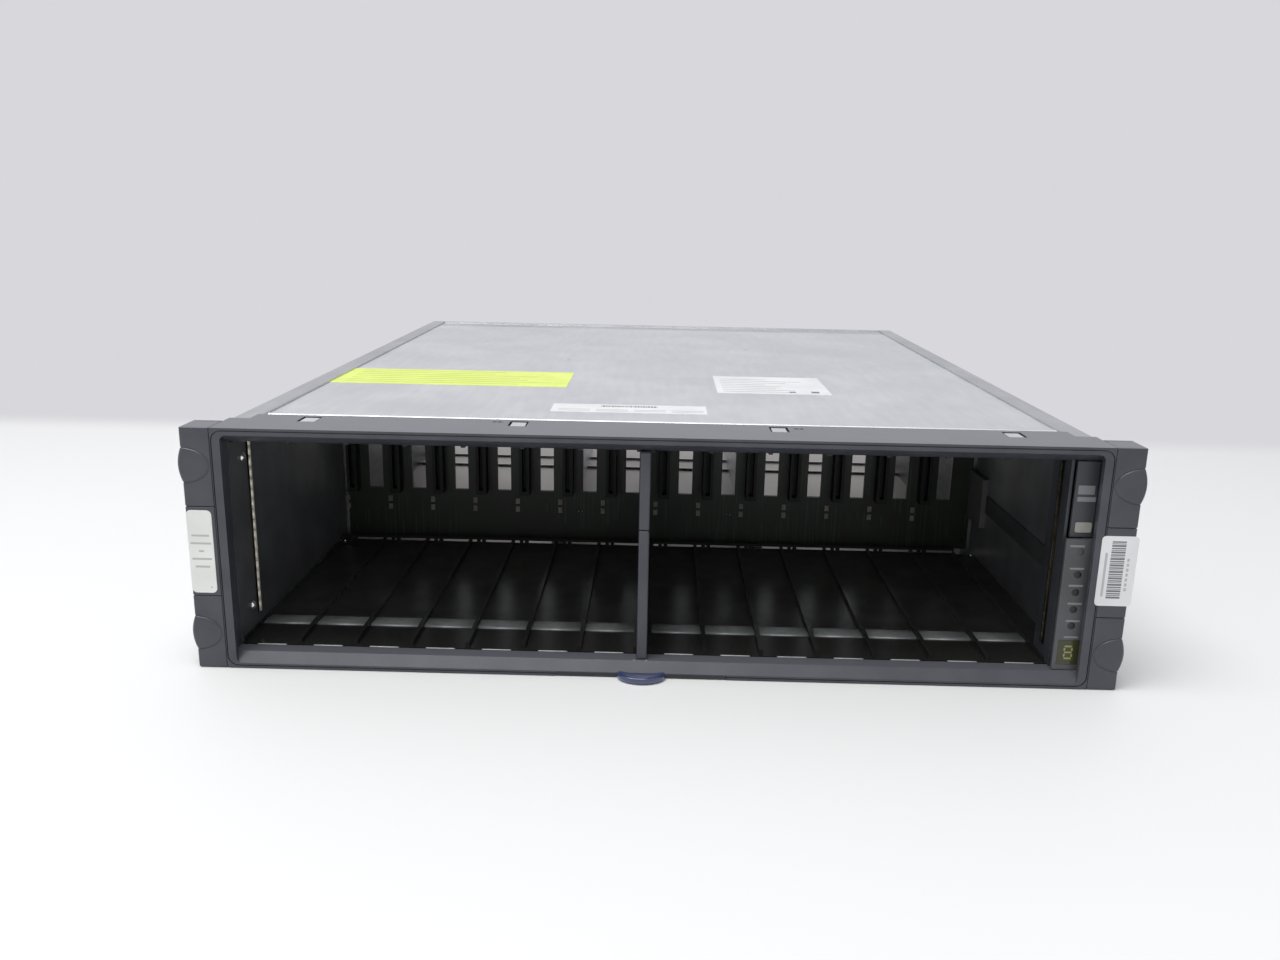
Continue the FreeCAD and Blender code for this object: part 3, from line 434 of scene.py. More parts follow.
def arch(width, height, nose, steps=22):
    """Half an arch's outline from 0 to width: up to nose of the way it rises as a quarter ellipse,
    and from there it falls as the square of the way. A straight line closes it."""
    v = np.concatenate([nose * (1 - np.cos(np.linspace(0, pi / 2, 8))),
                        np.linspace(nose, 1, steps - 7)[1:]])
    front = np.sqrt(np.clip(1 - ((nose - v) / nose) ** 2, 0, None))
    rear = 1 - ((v - nose) / (1 - nose)) ** 2
    return np.stack([width * v, height * np.where(v < nose, front, rear)], axis=-1)


# nickel is a soft, even grey with a bright line where it bends
nickel = bright_metal("nickel_plated_spring_steel", "#c3c8c6", "#b1b6b4", 0.5, 0.55)
LEAF_RISE, LEAF_NOSE, LEAF_GAP = 0.0009, 0.10, 0.00125
BEAD_BACK, BEAD_DEPTH, BEAD_RISE = 0.0007, 0.0004, 0.0003
BEAD_SPLIT = -0.24      # beads stand in front of this y, leaves behind it
CLIP_GAUGE = 0.0006
bead_stations = np.array([-0.0078, -0.0075, -0.0070, 0.0070, 0.0075, 0.0078])
bead_sizes = (0.35, 0.8, 1.0, 1.0, 0.8, 0.35)
turn = np.linspace(0, 2 * pi, 12, endpoint=False)
clip_low, clip_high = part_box("ground_clips_upper")
for word, side, count in (("lower", 1, 28), ("upper", -1, 14)):
    node = f"ground_clips_{word}"
    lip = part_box(node)[0].y + BEAD_BACK
    parts = centres(node, count)
    leaves = [part for part in parts if part[1] > BEAD_SPLIT]
    beads = [part for part in parts if part[1] < BEAD_SPLIT]
    tray_face = clip_high.z if side < 0 else min(z for x, y, z in leaves) - CLIP_GAUGE / 2
    half = (leaves[1][0] - leaves[0][0]) / 2 - LEAF_GAP
    leaf = arch(clip_high.y - clip_low.y, LEAF_RISE, LEAF_NOSE) * (1, side) + (clip_low.y, tray_face)
    bars = [drawn(leaf, 0, (x - half, x + half)) for x, y, z in leaves]
    bead = np.stack([lip + BEAD_DEPTH * np.cos(turn), tray_face + BEAD_RISE * np.sin(turn)], axis=-1)
    bars += [drawn(bead, 0, x + bead_stations, bead_sizes) for x, y, z in beads]
    springs = put(f"spring_leaves_{word}", joined(f"spring_leaves_{word}", bars, True),
                  nickel)
    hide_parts(node)

# the same copper is near white on the left as a painted highlight and dark brown on the right as
# painted shade; both carriers are dull bronze, darkened further by painted shade
gilt = bright_metal("beryllium_copper", "#fffae8", "#f8f1da", 0.42, 0.25)
shaded_copper = bright_metal("shaded_beryllium_copper", "#5a5548", "#454036", 0.5, 0.4)
carrier_bronze = bright_metal("dull_bronze_carrier", "#3a3226", "#2b241b", 0.6)
FINGERS, FINGER_GAP, FINGER_DEPTH, FINGER_NOSE = 17, 0.00028, 0.0034, 0.35
CARRIER_GAUGE, CARRIER_DEPTH, CARRIER_FRONT = 0.0005, 0.0046, 0.0012
for word, side, metal, rise in (("left", 1, gilt, 0.0014), ("right", -1, shaded_copper, 0.0007)):
    low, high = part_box(f"finger_gasket_{word}")
    foot = low.x if side > 0 else high.x
    pitch = (high.z - low.z) / FINGERS
    finger = arch(FINGER_DEPTH, rise, FINGER_NOSE)[:, ::-1] * (side, 1) + (foot, low.y + CARRIER_FRONT)
    bars = [drawn(finger, 2, (z + FINGER_GAP / 2, z + pitch - FINGER_GAP / 2))
            for z in low.z + pitch * np.arange(FINGERS)]
    strip = put(f"spring_fingers_{word}", joined(f"spring_fingers_{word}", bars, True),
                metal)
    rail = np.array([[0, 0], [CARRIER_GAUGE, 0], [CARRIER_GAUGE, CARRIER_DEPTH], [0, CARRIER_DEPTH]])
    rail = drawn(rail * (side, 1) + (foot, low.y), 2, (low.z, high.z))
    put(f"finger_carrier_{word}", joined(f"finger_carrier_{word}", [rail], True),
        carrier_bronze)
    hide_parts(f"finger_gasket_{word}")


# ---- Side liners
# Black moulded liners cover the chassis walls beside the bays. Two bright aluminium rivets
# with domed heads hold each of them near its front edge.

# a satin skin, dark at the mouth; further in its colour is doubled as painted light
liner_plastic = moulded("satin_black_abs", "#58595b", "#4b4c4e", 0.34, 1.2, 0.02)
depth_light_and_shade(liner_plastic, -0.225, -0.100, 1.0, 2.0)
dress(liner_plastic, "side_liner_left", "side_liner_right")


def dome(centre, axis, radius, height, rings=7, spokes=28):
    """A rivet head: rings shrink as the sine and rise as the cosine of a quarter turn."""
    turn = np.linspace(0, 2 * pi, spokes, endpoint=False)
    lift = np.linspace(0, pi / 2, rings)[:, None]
    out = radius * np.cos(lift) + 0 * turn
    rise = height * np.sin(lift) + 0 * turn
    spread = {"x": (rise, out * np.cos(turn), out * np.sin(turn)),
              "y": (out * np.sin(turn), rise, out * np.cos(turn)),
              "z": (out * np.cos(turn), out * np.sin(turn), rise)}[axis[-1]]
    points = np.stack(spread, axis=-1)
    if axis[0] == "-":
        points[..., "xyz".index(axis[1])] *= -1
        points = points[:, ::-1]
    return points + np.asarray(centre)


# bare aluminium catches the room as the brightest spots of the mouth
aluminium = bright_metal("rivet_aluminium", "#fcfcfb", "#f4f4f3", 0.22, 0.9)
RIVET_RADIUS, RIVET_HEIGHT = 0.0024, 0.0020
low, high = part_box("liner_rivets")
liner_heads = [dome((low.x if x < 0 else high.x, y, z), "+x" if x < 0 else "-x",
                    RIVET_RADIUS, RIVET_HEIGHT)
               for x, y, z in centres("liner_rivets", 4)]
rivets = put("liner_rivet_heads", joined("liner_rivet_heads", liner_heads, True), aluminium)
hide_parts("liner_rivets")


# ---- Midplane
# A 3 mm glass-epoxy board under dark green solder mask stands across the shelf. It carries a
# black drive connector and a pair of gilt contacts for each bay, and four screws hold it.

def blocks(name, lows, highs):
    """Closed blocks from low and high corners: bit k of a corner's number picks the high side."""
    lows, highs = np.asarray(lows, float), np.asarray(highs, float)
    bits = (np.arange(8)[:, None] >> np.arange(3)) & 1
    corners = np.where(bits[None] == 1, highs[:, None], lows[:, None])
    sides = np.array([[0, 2, 3, 1], [4, 5, 7, 6], [0, 1, 5, 4],
                      [2, 6, 7, 3], [0, 4, 6, 2], [1, 3, 7, 5]])
    faces = sides[None] + 8 * np.arange(len(lows))[:, None, None]
    mesh = bpy.data.meshes.new(name)
    mesh.from_pydata(corners.reshape(-1, 3).tolist(), [], faces.reshape(-1, 4).tolist())
    return mesh


# mask is a smooth green-black, and patches of fine copper tracks show through it a little lighter
board_mask, board_shader = finish("green_solder_mask", "#2b332b", 0.4, Specular_IOR_Level=0.4)
board_place = add(board_mask, "TexCoord").outputs["Object"]
layers = add(board_mask, "TexNoise", {"Scale": 1000 / 30, "Detail": 3.0}, {"Vector": board_place})
mask_tone = ramp(board_mask, layers.outputs["Fac"], (0.35, "#2a2f27"), (0.65, "#2e382e"))
slanted = add(board_mask, "Mapping", {"Rotation": (0.0, radians(45), 0.0), "Scale": (1.0, 0.0, 0.02)},
              {"Vector": board_place}).outputs["Vector"]
tracks = add(board_mask, "TexNoise", {"Scale": 1000 / 1.3, "Detail": 1.0}, {"Vector": slanted})
track_edge = add(board_mask, "MapRange", {"From Min": 0.56, "From Max": 0.6},
                 {"Value": tracks.outputs["Fac"]})
patches = add(board_mask, "TexNoise", {"Scale": 1000 / 38}, {"Vector": board_place})
patch_edge = add(board_mask, "MapRange", {"From Min": 0.5, "From Max": 0.54},
                 {"Value": patches.outputs["Fac"]})
track_share = add(board_mask, "Math", {"operation": "MULTIPLY"},
                  {0: track_edge.outputs["Result"], 1: patch_edge.outputs["Result"]}).outputs["Value"]
tracked = add(board_mask, "MixRGB", {"Color2": linear("#38463a")},
              {"Fac": track_share, "Color1": mask_tone}).outputs["Color"]
join(board_mask, tracked, board_shader, "Base Color")
dress(board_mask, "midplane_board", "operator_board")

# the connectors' filled polymer is matt and nearly black, and age has dulled the contacts' gold
connector_plastic = moulded("black_liquid_crystal_polymer", "#2b2d2b", "#232523", 0.5, 0.8, 0.01,
                           Specular_IOR_Level=0.25)
dress(connector_plastic, "drive_connectors", "module_connectors", "power_connectors")
contact_gold = bright_metal("dull_gilt_contacts", "#9b9888", "#807d6f", 0.5, 0.2)
dress(contact_gold, "drive_contacts")

# black zinc leaves the screw heads dark, with a dull shine
screw_steel = bright_metal("black_zinc_screw_steel", "#3a3b3b", "#2b2c2c", 0.35)
SCREW_RADIUS, SCREW_HEIGHT = 0.0014, 0.0007
board_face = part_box("midplane_screws")[1].y
screw_heads = [dome((x, board_face, z), "-y", SCREW_RADIUS, SCREW_HEIGHT)
               for x, y, z in centres("midplane_screws", 4)]
screws = put("midplane_screw_heads", joined("midplane_screw_heads", screw_heads, True), screw_steel)
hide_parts("midplane_screws")


# ---- Rear edge of the lower tray
# A black lip stands on it, pierced three times behind each bay, and a bright pin holds each
# corner. Two pairs of small tinned parts shine on the board above it.

BAY_PITCH, BLOCK_GAP, BAYS = 0.02985, 0.0070, 14
LIP_GAUGE, SILL_HEIGHT, HOLE_TOP, LIP_HEIGHT = 0.0012, 0.0009, 0.0027, 0.0045
LIP_WEBS = ((0.0, 0.0013), (0.0046, 0.0070), (0.0081, 0.0108), (0.0289, BAY_PITCH))
tray_low, tray_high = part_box("guide_tray_lower")
tray_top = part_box("mullion_lower")[0].z
bay_edges = [tray_low.x + BAY_PITCH * n + (BLOCK_GAP if 2 * n >= BAYS else 0.0) for n in range(BAYS)]
lip_end = bay_edges[-1] + BAY_PITCH
block_end = bay_edges[BAYS // 2 - 1] + BAY_PITCH
webs = [(edge + start, edge + end) for edge in bay_edges for start, end in LIP_WEBS]
webs.append((block_end, bay_edges[BAYS // 2]))
lip = np.array([(bay_edges[0], lip_end, 0.0, SILL_HEIGHT),
                (bay_edges[0], lip_end, HOLE_TOP, LIP_HEIGHT)]
               + [(start, end, SILL_HEIGHT, HOLE_TOP) for start, end in webs])
lip_front = np.full(len(lip), tray_high.y - LIP_GAUGE)
put("tray_rear_lip",
    blocks("tray_rear_lip",
           np.stack([lip[:, 0], lip_front, tray_top + lip[:, 2]], axis=-1),
           np.stack([lip[:, 1], lip_front + LIP_GAUGE, tray_top + lip[:, 3]], axis=-1)),
    connector_plastic)

PIN_RADIUS, PIN_HEIGHT, PIN_SIDE, PIN_BACK = 0.0010, 0.0016, 0.0024, 0.0030
pins = [dome((x, tray_high.y - PIN_BACK, tray_top), "+z", PIN_RADIUS, PIN_HEIGHT)
        for x in (tray_low.x + PIN_SIDE, tray_high.x - PIN_SIDE)]
put("tray_corner_pins", joined("tray_corner_pins", pins, True), aluminium)

# tin plate gives small soft highlights
tin = bright_metal("tinned_ends", "#b9bab9", "#a0a1a0", 0.35)
DOT_RADIUS, DOT_HEIGHT, DOT_RISE = 0.0006, 0.0005, 0.0215
board_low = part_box("midplane_board")[0]
dots = [dome((bay_edges[n] + shift, board_low.y, tray_top + DOT_RISE), "-y",
             DOT_RADIUS, DOT_HEIGHT, 5, 12)
        for n, shift in ((5, 0.0150), (5, 0.0172), (9, -0.0078), (9, -0.0056))]
put("tinned_parts", joined("tinned_parts", dots, True), tin)


# ---- Shelf number switch
# A black housing in the crossbar holds a thumbwheel on a steel pin. Ten shallow flats round
# the wheel's rim are its detents.

# nylon is matt and black, and the wheel's acetal a waxy mid grey
switch_plastic = moulded("matt_black_nylon", "#1b1b1c", "#131314", 0.5, 0.6, 0.02)
soften("id_switch_housing", switch_plastic, 0.0003)
wheel_plastic = moulded("grey_acetal", "#8b8d90", "#7c7e81", 0.4, 0.6, 0.01)
wheel_low, wheel_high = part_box("id_wheel")


def wheel_rim(radius, width, middle, flats=10, steps=120):
    """A thumbwheel's rim: the radius dips as the cosine of flats times the angle, and its two
    edges are quarter circles."""
    dip, soft = 0.00025, 0.0004
    turn = np.linspace(0, 2 * pi, steps, endpoint=False)
    swell = radius - dip * (1 + np.cos(flats * turn)) / 2
    edge = np.linspace(-pi / 2, pi / 2, 9)
    side = middle[0] + np.sign(np.sin(edge)) * (width / 2 - soft) + soft * np.sin(edge)
    shrink = soft * (1 - np.cos(edge))
    rows = []
    for x, inset in zip(side, shrink):
        out = swell - inset
        rows.append(np.stack([np.full(steps, x), middle[1] + out * np.cos(turn),
                              middle[2] + out * np.sin(turn)], axis=-1))
    return np.stack(rows)


wheel_middle = (0.0, (wheel_low.y + wheel_high.y) / 2, (wheel_low.z + wheel_high.z) / 2)
WHEEL_WIDTH = 0.0034
rim = wheel_rim((wheel_high.z - wheel_low.z) / 2, WHEEL_WIDTH, wheel_middle)
wheel = put("number_wheel", joined("number_wheel", [rim], True), wheel_plastic,
            "shelf_number_wheel")
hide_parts("id_wheel")


# ---- Mullion
# Two moulded lengths of the bezel's plastic stand between the two blocks of bays, the upper
# one plugged onto the lower.

# spark-eroded ABS is a satin blue-grey, and faces that look up are lightened as painted light
bezel_plastic = moulded("graphite_abs", "#47484f", "#3e3f46", 0.31, 0.9, 0.05, Specular_IOR_Level=0.5)
bezel_shader = bezel_plastic.node_tree.nodes["Principled BSDF"]
upward = add(bezel_plastic, "SeparateXYZ",
             links={"Vector": add(bezel_plastic, "NewGeometry").outputs["Normal"]}).outputs["Z"]
top_light_share = add(bezel_plastic, "MapRange", {"From Min": 0.6, "From Max": 0.98, "To Max": 0.45},
            {"Value": upward}).outputs["Result"]
bare_tone = bezel_shader.inputs["Base Color"].links[0].from_socket
top_lit_tone = add(bezel_plastic, "MixRGB", {"Color2": linear("#7d7e86")},
             {"Fac": top_light_share, "Color1": bare_tone})
join(bezel_plastic, top_lit_tone.outputs["Color"], bezel_shader, "Base Color")
for name in ("mullion_lower", "mullion_upper"):
    soften(name, bezel_plastic, 0.0011, 4)

# two pale grey pips stand on the sill beside the mullion's foot
pip_plastic = moulded("pale_grey_abs", "#a9aaa9", "#989998", 0.5, 0.5, 0.01)
PIP_RADIUS, PIP_HEIGHT, PIP_SUNK = 0.0006, 0.0007, 0.0004
mullion_low, mullion_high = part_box("mullion_lower")
pips = [dome((x, mullion_low.y - PIP_RADIUS, mullion_low.z - PIP_SUNK), "+z",
             PIP_RADIUS, PIP_HEIGHT, 5, 12)
        for x in (mullion_low.x - 0.0012, mullion_high.x - 0.0003)]
put("mullion_foot_pips", joined("mullion_foot_pips", pips, True), pip_plastic)


# ---- Bezel
# One moulding of graphite ABS with a fine spark-eroded skin. It hangs by four slots on the
# chassis hooks; small moulded arrows beside two of the slots show where to push.

soften("bezel_frame", bezel_plastic, 0.0005, 3)
ARROW_LENGTH, ARROW_WIDTH, ARROW_HEIGHT, ARROW_STEP = 0.0026, 0.004, 0.00004, 0.0028


def arrow(x, y, z, way):
    """The foot and top of an arrow head, a low prism on a triangle that points along way in x."""
    tip, tail = x + way * ARROW_LENGTH / 2, x - way * ARROW_LENGTH / 2
    outline = np.array([[tip, y], [tail, y + ARROW_WIDTH / 2], [tail, y - ARROW_WIDTH / 2]])
    if way > 0:
        outline = outline[::-1]
    top = np.column_stack([outline, np.full(3, z + ARROW_HEIGHT)])
    foot = np.column_stack([outline, np.full(3, z)])
    return foot, top


bezel_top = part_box("bezel_frame")[1].z
arrow_points, arrow_faces = [], []
for x, y, way in ((-0.0825, -0.2345, 1), (0.0695, -0.2355, -1)):
    for shift in (0.0, -ARROW_STEP * way):
        foot, top = arrow(x + shift, y, bezel_top, way)
        first = len(arrow_points)
        arrow_points.extend([*foot.tolist(), *top.tolist()])
        arrow_faces.extend([[first, first + 1, first + 2], [first + 5, first + 4, first + 3]])
        arrow_faces.extend([[first + k, first + 3 + k, first + 3 + (k + 1) % 3, first + (k + 1) % 3]
                            for k in range(3)])
arrow_mesh = bpy.data.meshes.new("push_arrows")
arrow_mesh.from_pydata(arrow_points, [], arrow_faces)
# the arrows' skin is coarser than the flange's, so they read a little darker
arrow_plastic = moulded("graphite_abs_recess", "#3b3c40", "#333438", 0.6, 0.9, 0.03)
put("push_arrows", arrow_mesh, arrow_plastic)


# ---- Ears
# Each ear is three hollow mouldings, clipped over the rack flange: a middle length and two
# caps. A cap has an oval finger grip, a low cushion with a groove round it that laps the edge.

def ear_path(inner, outer, front, rear, fine):
    """An ear's section as a path with its outward normals: inner side, inner corner, front,
    outer corner and outer side, up to the back edge. Each corner is a quarter circle."""
    small, large = 0.0005, 0.0011
    quarter = np.linspace(0, pi / 2, 7)
    back_in = np.linspace(rear, front + small, 4)[:-1]
    face = np.linspace(inner + small, outer - large, fine)[1:-1]
    back_out = np.linspace(front + large, rear, fine // 2)[1:]
    x = np.concatenate([np.full(3, inner), inner + small * (1 - np.cos(quarter)), face,
                        outer - large * (1 - np.sin(quarter)), np.full(len(back_out), outer)])
    y = np.concatenate([back_in, front + small * (1 - np.sin(quarter)), np.full(len(face), front),
                        front + large * (1 - np.cos(quarter)), back_out])
    normal_x = np.concatenate([np.full(3, -1.0), -np.cos(quarter), np.zeros(len(face)),
                               np.sin(quarter), np.ones(len(back_out))])
    normal_y = np.concatenate([np.zeros(3), -np.sin(quarter), -np.ones(len(face)),
                               -np.cos(quarter), np.zeros(len(back_out))])
    return np.stack([x, y], axis=-1), np.stack([normal_x, normal_y], axis=-1)


def ear_moulding(inner, outer, front, rear, low, high, oval=None):
    """An ear piece as one surface. Rows go up in z; the first and last rows draw the section in
    to its back edge and so close the ends, and the rows beside them round the end edges by a
    quarter circle. The grip lifts the surface along its normal: with q the distance from the
    grip's middle in half-axes, by height times the root of 1 - q squared inside, less a groove
    that falls off as a bell curve round q = 1."""
    path, normal = ear_path(inner, outer, front, rear, 76 if oval else 20)
    soft = 0.0005
    chord = np.stack([np.linspace(inner + soft, outer - soft, len(path)),
                      np.full(len(path), rear)], axis=-1)
    quarter = np.linspace(0, pi / 2, 5)
    inset = soft * (1 - np.sin(quarter))
    lift = soft * (1 - np.cos(quarter))
    if oval:
        span = 0.0105
        near = np.linspace(max(oval - span, low + soft), min(oval + span, high - soft), 118)
        far = np.concatenate([np.linspace(low + soft, near[0], 8)[1:-1],
                              np.linspace(near[-1], high - soft, 8)[1:-1]])
        body = np.unique(np.concatenate([near, far]))
    else:
        body = np.linspace(low + soft, high - soft, 12)[1:-1]
    level = np.concatenate([np.full(3, low), low + lift, body, (high - lift)[::-1], np.full(3, high)])
    sink = np.concatenate([np.full(3, soft), inset, np.zeros(len(body)), inset[::-1], np.full(3, soft)])
    share = np.concatenate([[0.0, 0.4, 0.8], np.ones(len(level) - 6), [0.8, 0.4, 0.0]])
    rows = chord + share[:, None, None] * (path - sink[:, None, None] * normal - chord)
    if oval:
        half_x, half_z, cushion, groove, reach = 0.0135, 0.0088, 0.0009, 0.0003, 0.0018
        across = np.clip((outer - path[:, 0]) / half_x, 0, None)
        up = (level - oval) / half_z
        q = np.hypot(across[None, :], up[:, None])
        inside = np.sqrt(np.clip(1 - q ** 2, 0, None))
        side = np.clip(normal[:, 0], 0, None)
        fade_start, fade = 0.0065, 0.0012
        deep = np.clip((rear - fade_start - path[:, 1]) / fade, 0, 1)
        bulge = side[None, :] * deep[None, :] * reach * np.clip(1 - up[:, None] ** 2, 0, None)
        front_part = (1 - side)[None, :] * cushion * inside
        line_at, line_width = 1.025, 0.028
        line = groove * np.exp(-((q - line_at) / line_width) ** 2) * np.maximum(1 - side, deep)[None, :]
        face = (path[:, 0] > inner + 0.0008)[None, :]
        rows = rows + ((bulge + front_part - line) * face * share[:, None])[..., None] * normal
    heights = np.broadcast_to(level[:, None], rows.shape[:2])
    return np.concatenate([rows, heights[..., None]], axis=-1)


EAR_WALL = 0.0016
for side, word in ((-1, "left"), (1, "right")):
    middle_low, middle_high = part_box(f"ear_middle_{word}")
    edges = sorted((abs(middle_low.x), abs(middle_high.x)))
    for part, grip in (("ear_cap_lower", 0.0194), ("ear_middle", None), ("ear_cap_upper", 0.1083)):
        node = f"{part}_{word}"
        low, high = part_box(node)
        points = ear_moulding(*edges, low.y, high.y, low.z, high.z, grip)
        if side < 0:
            points[..., 0] *= -1
            points = points[:, ::-1]
        mesh = joined(node + "_shell", [points], closed=False)
        shell = put(node + "_shell", mesh, bezel_plastic, nodes[node]["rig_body"])
        wall = shell.modifiers.new("wall", "SOLIDIFY")
        wall.thickness = EAR_WALL
        wall.offset = -1
        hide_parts(node)


# ---- Operator panel
# A lighter printed plate with five smoked lamps and an amber window over one digit, a darker
# upper plate with a small badge, and behind them the board in its slate shroud.

# the films are satin and even; the badge's foil is paler, and the shroud and cable are dull
PLATE_EDGE = 0.00035
plate_film = moulded("printed_polycarbonate_plate", "#535457", "#494a4c", 0.4, 0.7, 0.02)
upper_film = moulded("satin_polycarbonate_plate", "#47484d", "#3f4044", 0.42, 0.7, 0.02)
soften("operator_plate_lower", plate_film, PLATE_EDGE)
soften("operator_plate_upper", upper_film, PLATE_EDGE)
badge_foil = moulded("embossed_grey_foil", "#a3a29b", "#94938c", 0.4, 0.5, 0.02)
soften("badge_plate", badge_foil, 0.00015)
shroud_plastic = moulded("slate_shroud_abs", "#3c3e44", "#33353a", 0.45, 1.0, 0.02)
dress(shroud_plastic, "operator_housing")
harness_plastic = moulded("natural_grey_nylon", "#737470", "#666763", 0.5, 0.8, 0.02)
dress(harness_plastic, "harness_connector")
ribbon_pvc = moulded("grey_ribbon_pvc", "#4a4b4c", "#404142", 0.5, 0.5, 0.02)
soften("operator_cable", ribbon_pvc, 0.0002)

# unlit lamps are dark, flat domes; the top one is only a shade darker than the plate
PLATE_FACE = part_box("operator_plate_lower")[0].y
LAMP_RADIUS, LAMP_HEIGHT, LAMP_SUNK = 0.0020, 0.00035, 0.00005
lamp_lens = moulded("smoked_acrylic", "#242529", "#1d1e21", 0.4, 0.5, 0.01)
faint_lens = moulded("grey_acrylic", "#46474b", "#3f4044", 0.4, 0.5, 0.01)
lamp_places = centres("led_lenses", 5)[::-1]
for name, places, material in (("lamp_dome_top", lamp_places[:1], faint_lens),
                               ("lamp_domes", lamp_places[1:], lamp_lens)):
    domes = [dome((x, PLATE_FACE + LAMP_SUNK, z), "-y", LAMP_RADIUS, LAMP_HEIGHT) for x, y, z in places]
    put(name, joined(name, domes, True), material)
dress(lamp_lens, "led_lenses")

# grey print above each lamp, the window and the badge: plain bars where words would be
print_ink = finish("grey_panel_ink", "#85868a", 0.55)[0]
PRINT, BAR_LENGTH, BAR_HEIGHT = 0.00004, 0.0072, 0.00096
beside = np.array([-0.0018, -0.0007, -0.0002, 0.0004, 0.0005, 0.0006])
above = np.array([0.00304, 0.00324, 0.0036, 0.00314, 0.0026, 0.00175])
window_low, window_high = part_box("display_window")
bar_x = np.array([x for x, y, z in lamp_places] + [(window_low.x + window_high.x) / 2]) + beside
bar_z = np.array([z for x, y, z in lamp_places] + [window_high.z]) + above
bar_lows = [(x - BAR_LENGTH / 2, PLATE_FACE - PRINT, z - BAR_HEIGHT / 2) for x, z in zip(bar_x, bar_z)]
bar_highs = [(x + BAR_LENGTH / 2, PLATE_FACE, z + BAR_HEIGHT / 2) for x, z in zip(bar_x, bar_z)]
upper_face, badge_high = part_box("operator_plate_upper")[0].y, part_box("badge_plate")[1]
for right, low, high in ((0.0004, 0.0107, 0.0131), (-0.0006, 0.0144, 0.0190)):
    bar_lows.append((badge_high.x - 0.0088, upper_face - PRINT, badge_high.z + low))
    bar_highs.append((badge_high.x + right, upper_face, badge_high.z + high))
put("panel_bars", blocks("panel_bars", bar_lows, bar_highs), print_ink)

# the window is a dark olive gloss and shows the seven unlit strokes of its digit
amber = finish("smoked_amber_acrylic", "#3f4029", 0.18)[0]
dress(amber, "display_window")
module_plastic = moulded("display_body_epoxy", "#3a3a2c", "#303024", 0.4, 0.5, 0.01)
dress(module_plastic, "display_module")
middle_x, middle_z = (window_low.x + window_high.x) / 2, (window_low.z + window_high.z) / 2
half_w, half_h, stroke = 0.0019, 0.0033, 0.00045
level_bars = [(-half_w, half_w, z - stroke, z + stroke) for z in (-half_h, 0.0, half_h)]
upright_bars = [(x - stroke, x + stroke, z + 2 * stroke, z + half_h - 2 * stroke)
                for x in (-half_w, half_w) for z in (-half_h, 0.0)]
strokes = np.array(level_bars + upright_bars)
STROKE_PRINT = 0.00003
stroke_front = np.full(len(strokes), window_low.y - STROKE_PRINT)
stroke_ink = finish("unlit_display_strokes", "#97995a", 0.35)[0]
put("digit_strokes",
    blocks("digit_strokes",
           np.stack([middle_x + strokes[:, 0], stroke_front, middle_z + strokes[:, 2]], axis=-1),
           np.stack([middle_x + strokes[:, 1], stroke_front + STROKE_PRINT, middle_z + strokes[:, 3]],
                    axis=-1)),
    stroke_ink)


# ---- Pull-out card
# A black card on two low runners slides out of a slot under the bezel by its glossy blue grip.

# the card is a plain satin black, and the grip a clear-coated blue with a bright rim
card_plastic = moulded("satin_black_card_pvc", "#2c2d31", "#26272a", 0.4, 0.8, 0.02)
soften("pull_card", card_plastic, 0.0003)
dress(card_plastic, "card_runner")
blue_plastic = moulded("gloss_blue_abs", "#3b476f", "#333e63", 0.22, 9.0, 0.01, Coat_Weight=1.0)
grip_low, grip_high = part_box("pull_grip")


def thumb_grip(low, high, turns=48):
    """Half a dish: each ray from the middle of its straight side is the same outline, stretched to
    an ellipse. The outline goes from the hollow's middle up to the rim as the square of the way,
    over the rim and round the edge as an ellipse, and back underneath."""
    half, reach, tall = (high.x - low.x) / 2, high.y - low.y, high.z - low.z
    dish_end, rim_start, dish_depth = 0.84, 0.90, 0.0010
    hollow = np.linspace(0, dish_end, 9)
    edge = np.linspace(pi / 2, -pi / 2, 15)
    way = np.concatenate([hollow, rim_start + (1 - rim_start) * np.cos(edge), [0.0]])
    height = np.concatenate([high.z - dish_depth * (1 - (hollow / dish_end) ** 2),
                             low.z + tall / 2 * (1 + np.sin(edge)), [low.z]])
    turn = np.linspace(0, pi, turns)[:, None]
    x = (low.x + high.x) / 2 + half * way * np.cos(turn)
    y = high.y - reach * way * np.sin(turn)
    return np.stack([x, y, np.broadcast_to(height, x.shape)], axis=-1)


grip = put("thumb_grip", joined("thumb_grip", [thumb_grip(grip_low, grip_high)]), blue_plastic,
           nodes["pull_grip"]["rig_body"])
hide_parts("pull_grip")


# ---- Stickers
# Matt paper and vinyl labels on the ears and on the cover, with round corners. They carry
# only plain grey bars and bar codes that mean nothing.

# paper and vinyl are matt and even; the print on them is thin and grey, or olive on yellow
paper = moulded("matt_white_label_paper", "#e9e9ea", "#dfdfe0", 0.55, 1.2, 0.01)
vinyl = moulded("matt_grey_white_vinyl", "#ecede8", "#e3e4df", 0.5, 1.2, 0.01)
yellow = moulded("matt_yellow_vinyl", "#e6f57f", "#dbea74", 0.5, 1.2, 0.01)
ink = finish("grey_label_ink", "#77777c", 0.6)[0]
pale_ink = finish("faint_label_ink", "#b9b9bb", 0.6)[0]
olive_ink = finish("faint_olive_ink", "#c3d267", 0.6)[0]
for name, material in (("ear_label", vinyl), ("asset_label", paper), ("bar_label", paper),
                       ("spec_label", paper), ("caution_label", yellow)):
    dress(material, name)

INK = 0.00003
draw = np.random.default_rng(14)


def face_bars(name, material, bars, front):
    """Bars on a face that looks forward, from (left, right, bottom, top) in metres."""
    bars = np.asarray(bars, float)
    y = np.full(len(bars), front)
    mesh = blocks(name, np.stack([bars[:, 0], y - INK, bars[:, 2]], axis=-1),
                  np.stack([bars[:, 1], y, bars[:, 3]], axis=-1))
    return put(name, mesh, material)


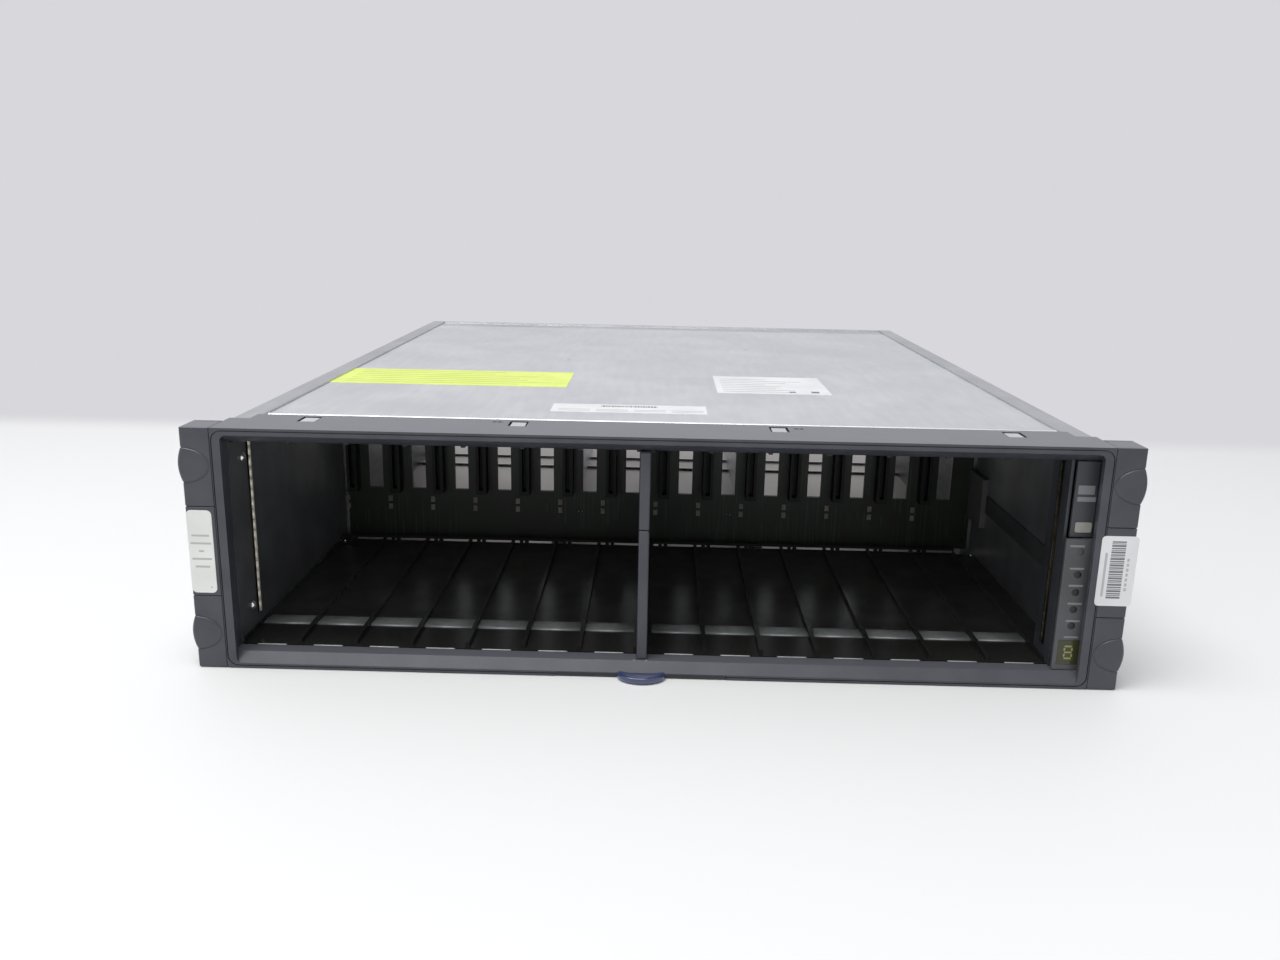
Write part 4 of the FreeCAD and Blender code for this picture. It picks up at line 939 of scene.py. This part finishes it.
def top_bars(name, material, bars, top):
    """Bars on a level face, from (left, right, front, rear) in metres."""
    bars = np.asarray(bars, float)
    z = np.full(len(bars), top)
    mesh = blocks(name, np.stack([bars[:, 0], bars[:, 2], z], axis=-1),
                  np.stack([bars[:, 1], bars[:, 3], z + INK], axis=-1))
    return put(name, mesh, material)


low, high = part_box("ear_label")
line_pitch, half_line, centre_x = 0.00412, 0.0005, (low.x + high.x) / 2
line_bars = [(centre_x - half, centre_x + half, z - half_line, z + half_line)
             for half, z in zip((0.0045, 0.0053, 0.0013, 0.0050, 0.0037),
                                high.z - 0.0133 - line_pitch * np.arange(5))]
line_bars.append((high.x - 0.0030, high.x - 0.0022, low.z + 0.0026, low.z + 0.0034))
face_bars("ear_label_bars", pale_ink, line_bars, low.y)

low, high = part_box("asset_label")
cluster = np.array([(0.0, 0.0010), (0.0014, 0.0018), (0.0022, 0.0029)])
starts = low.z + 0.0040 + 0.0034 * np.arange(9)
code_bars = [(low.x + 0.0052, low.x + 0.0122, z + bottom, z + top)
             for z in starts for bottom, top in cluster]
face_bars("asset_code", ink, code_bars, low.y)
edge_bars = [(low.x + 0.0024, low.x + 0.0036, low.z + 0.005, low.z + 0.028)]
edge_bars += [(low.x + 0.0136, low.x + 0.0148, z, z + 0.0016)
              for z in low.z + 0.008 + 0.0026 * np.arange(7)]
face_bars("asset_lines", pale_ink, edge_bars, low.y)

low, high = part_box("bar_label")
widths = draw.choice([0.0004, 0.0008, 0.0012], 24)
starts = low.x + 0.028 + np.concatenate([[0], np.cumsum(widths + 0.0005)[:-1]])
top_bars("bar_label_code", ink, [(x, x + width, high.y - 0.0080, high.y - 0.0035)
                                 for x, width in zip(starts, widths)], high.z)
top_bars("bar_label_lines", pale_ink,
         [(x, x + 0.018, y, y + 0.0012) for x in low.x + 0.004 + 0.0215 * np.arange(4)
          for y in low.y + np.array([0.004, 0.008])], high.z)

low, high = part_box("spec_label")
rows = low.y + 0.006 + 0.0072 * np.arange(8)
lengths = draw.uniform(0.35, 0.92, len(rows))
top_bars("spec_label_lines", pale_ink,
         [(low.x + 0.004, low.x + 0.004 + 0.060 * length, y, y + 0.0016)
          for y, length in zip(rows, lengths)], high.z)
top_bars("spec_label_marks", ink,
         [(high.x - 0.012, high.x - 0.007, low.y + 0.006, low.y + 0.012),
          (high.x - 0.026, high.x - 0.022, low.y + 0.006, low.y + 0.010)], high.z)

low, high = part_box("caution_label")
rows = low.y + 0.006 + 0.0080 * np.arange(7)
top_bars("caution_lines", olive_ink,
         [(low.x + 0.008, low.x + 0.008 + length, y, y + 0.0022)
          for y, length in zip(rows, draw.uniform(0.09, 0.138, len(rows)))], high.z)
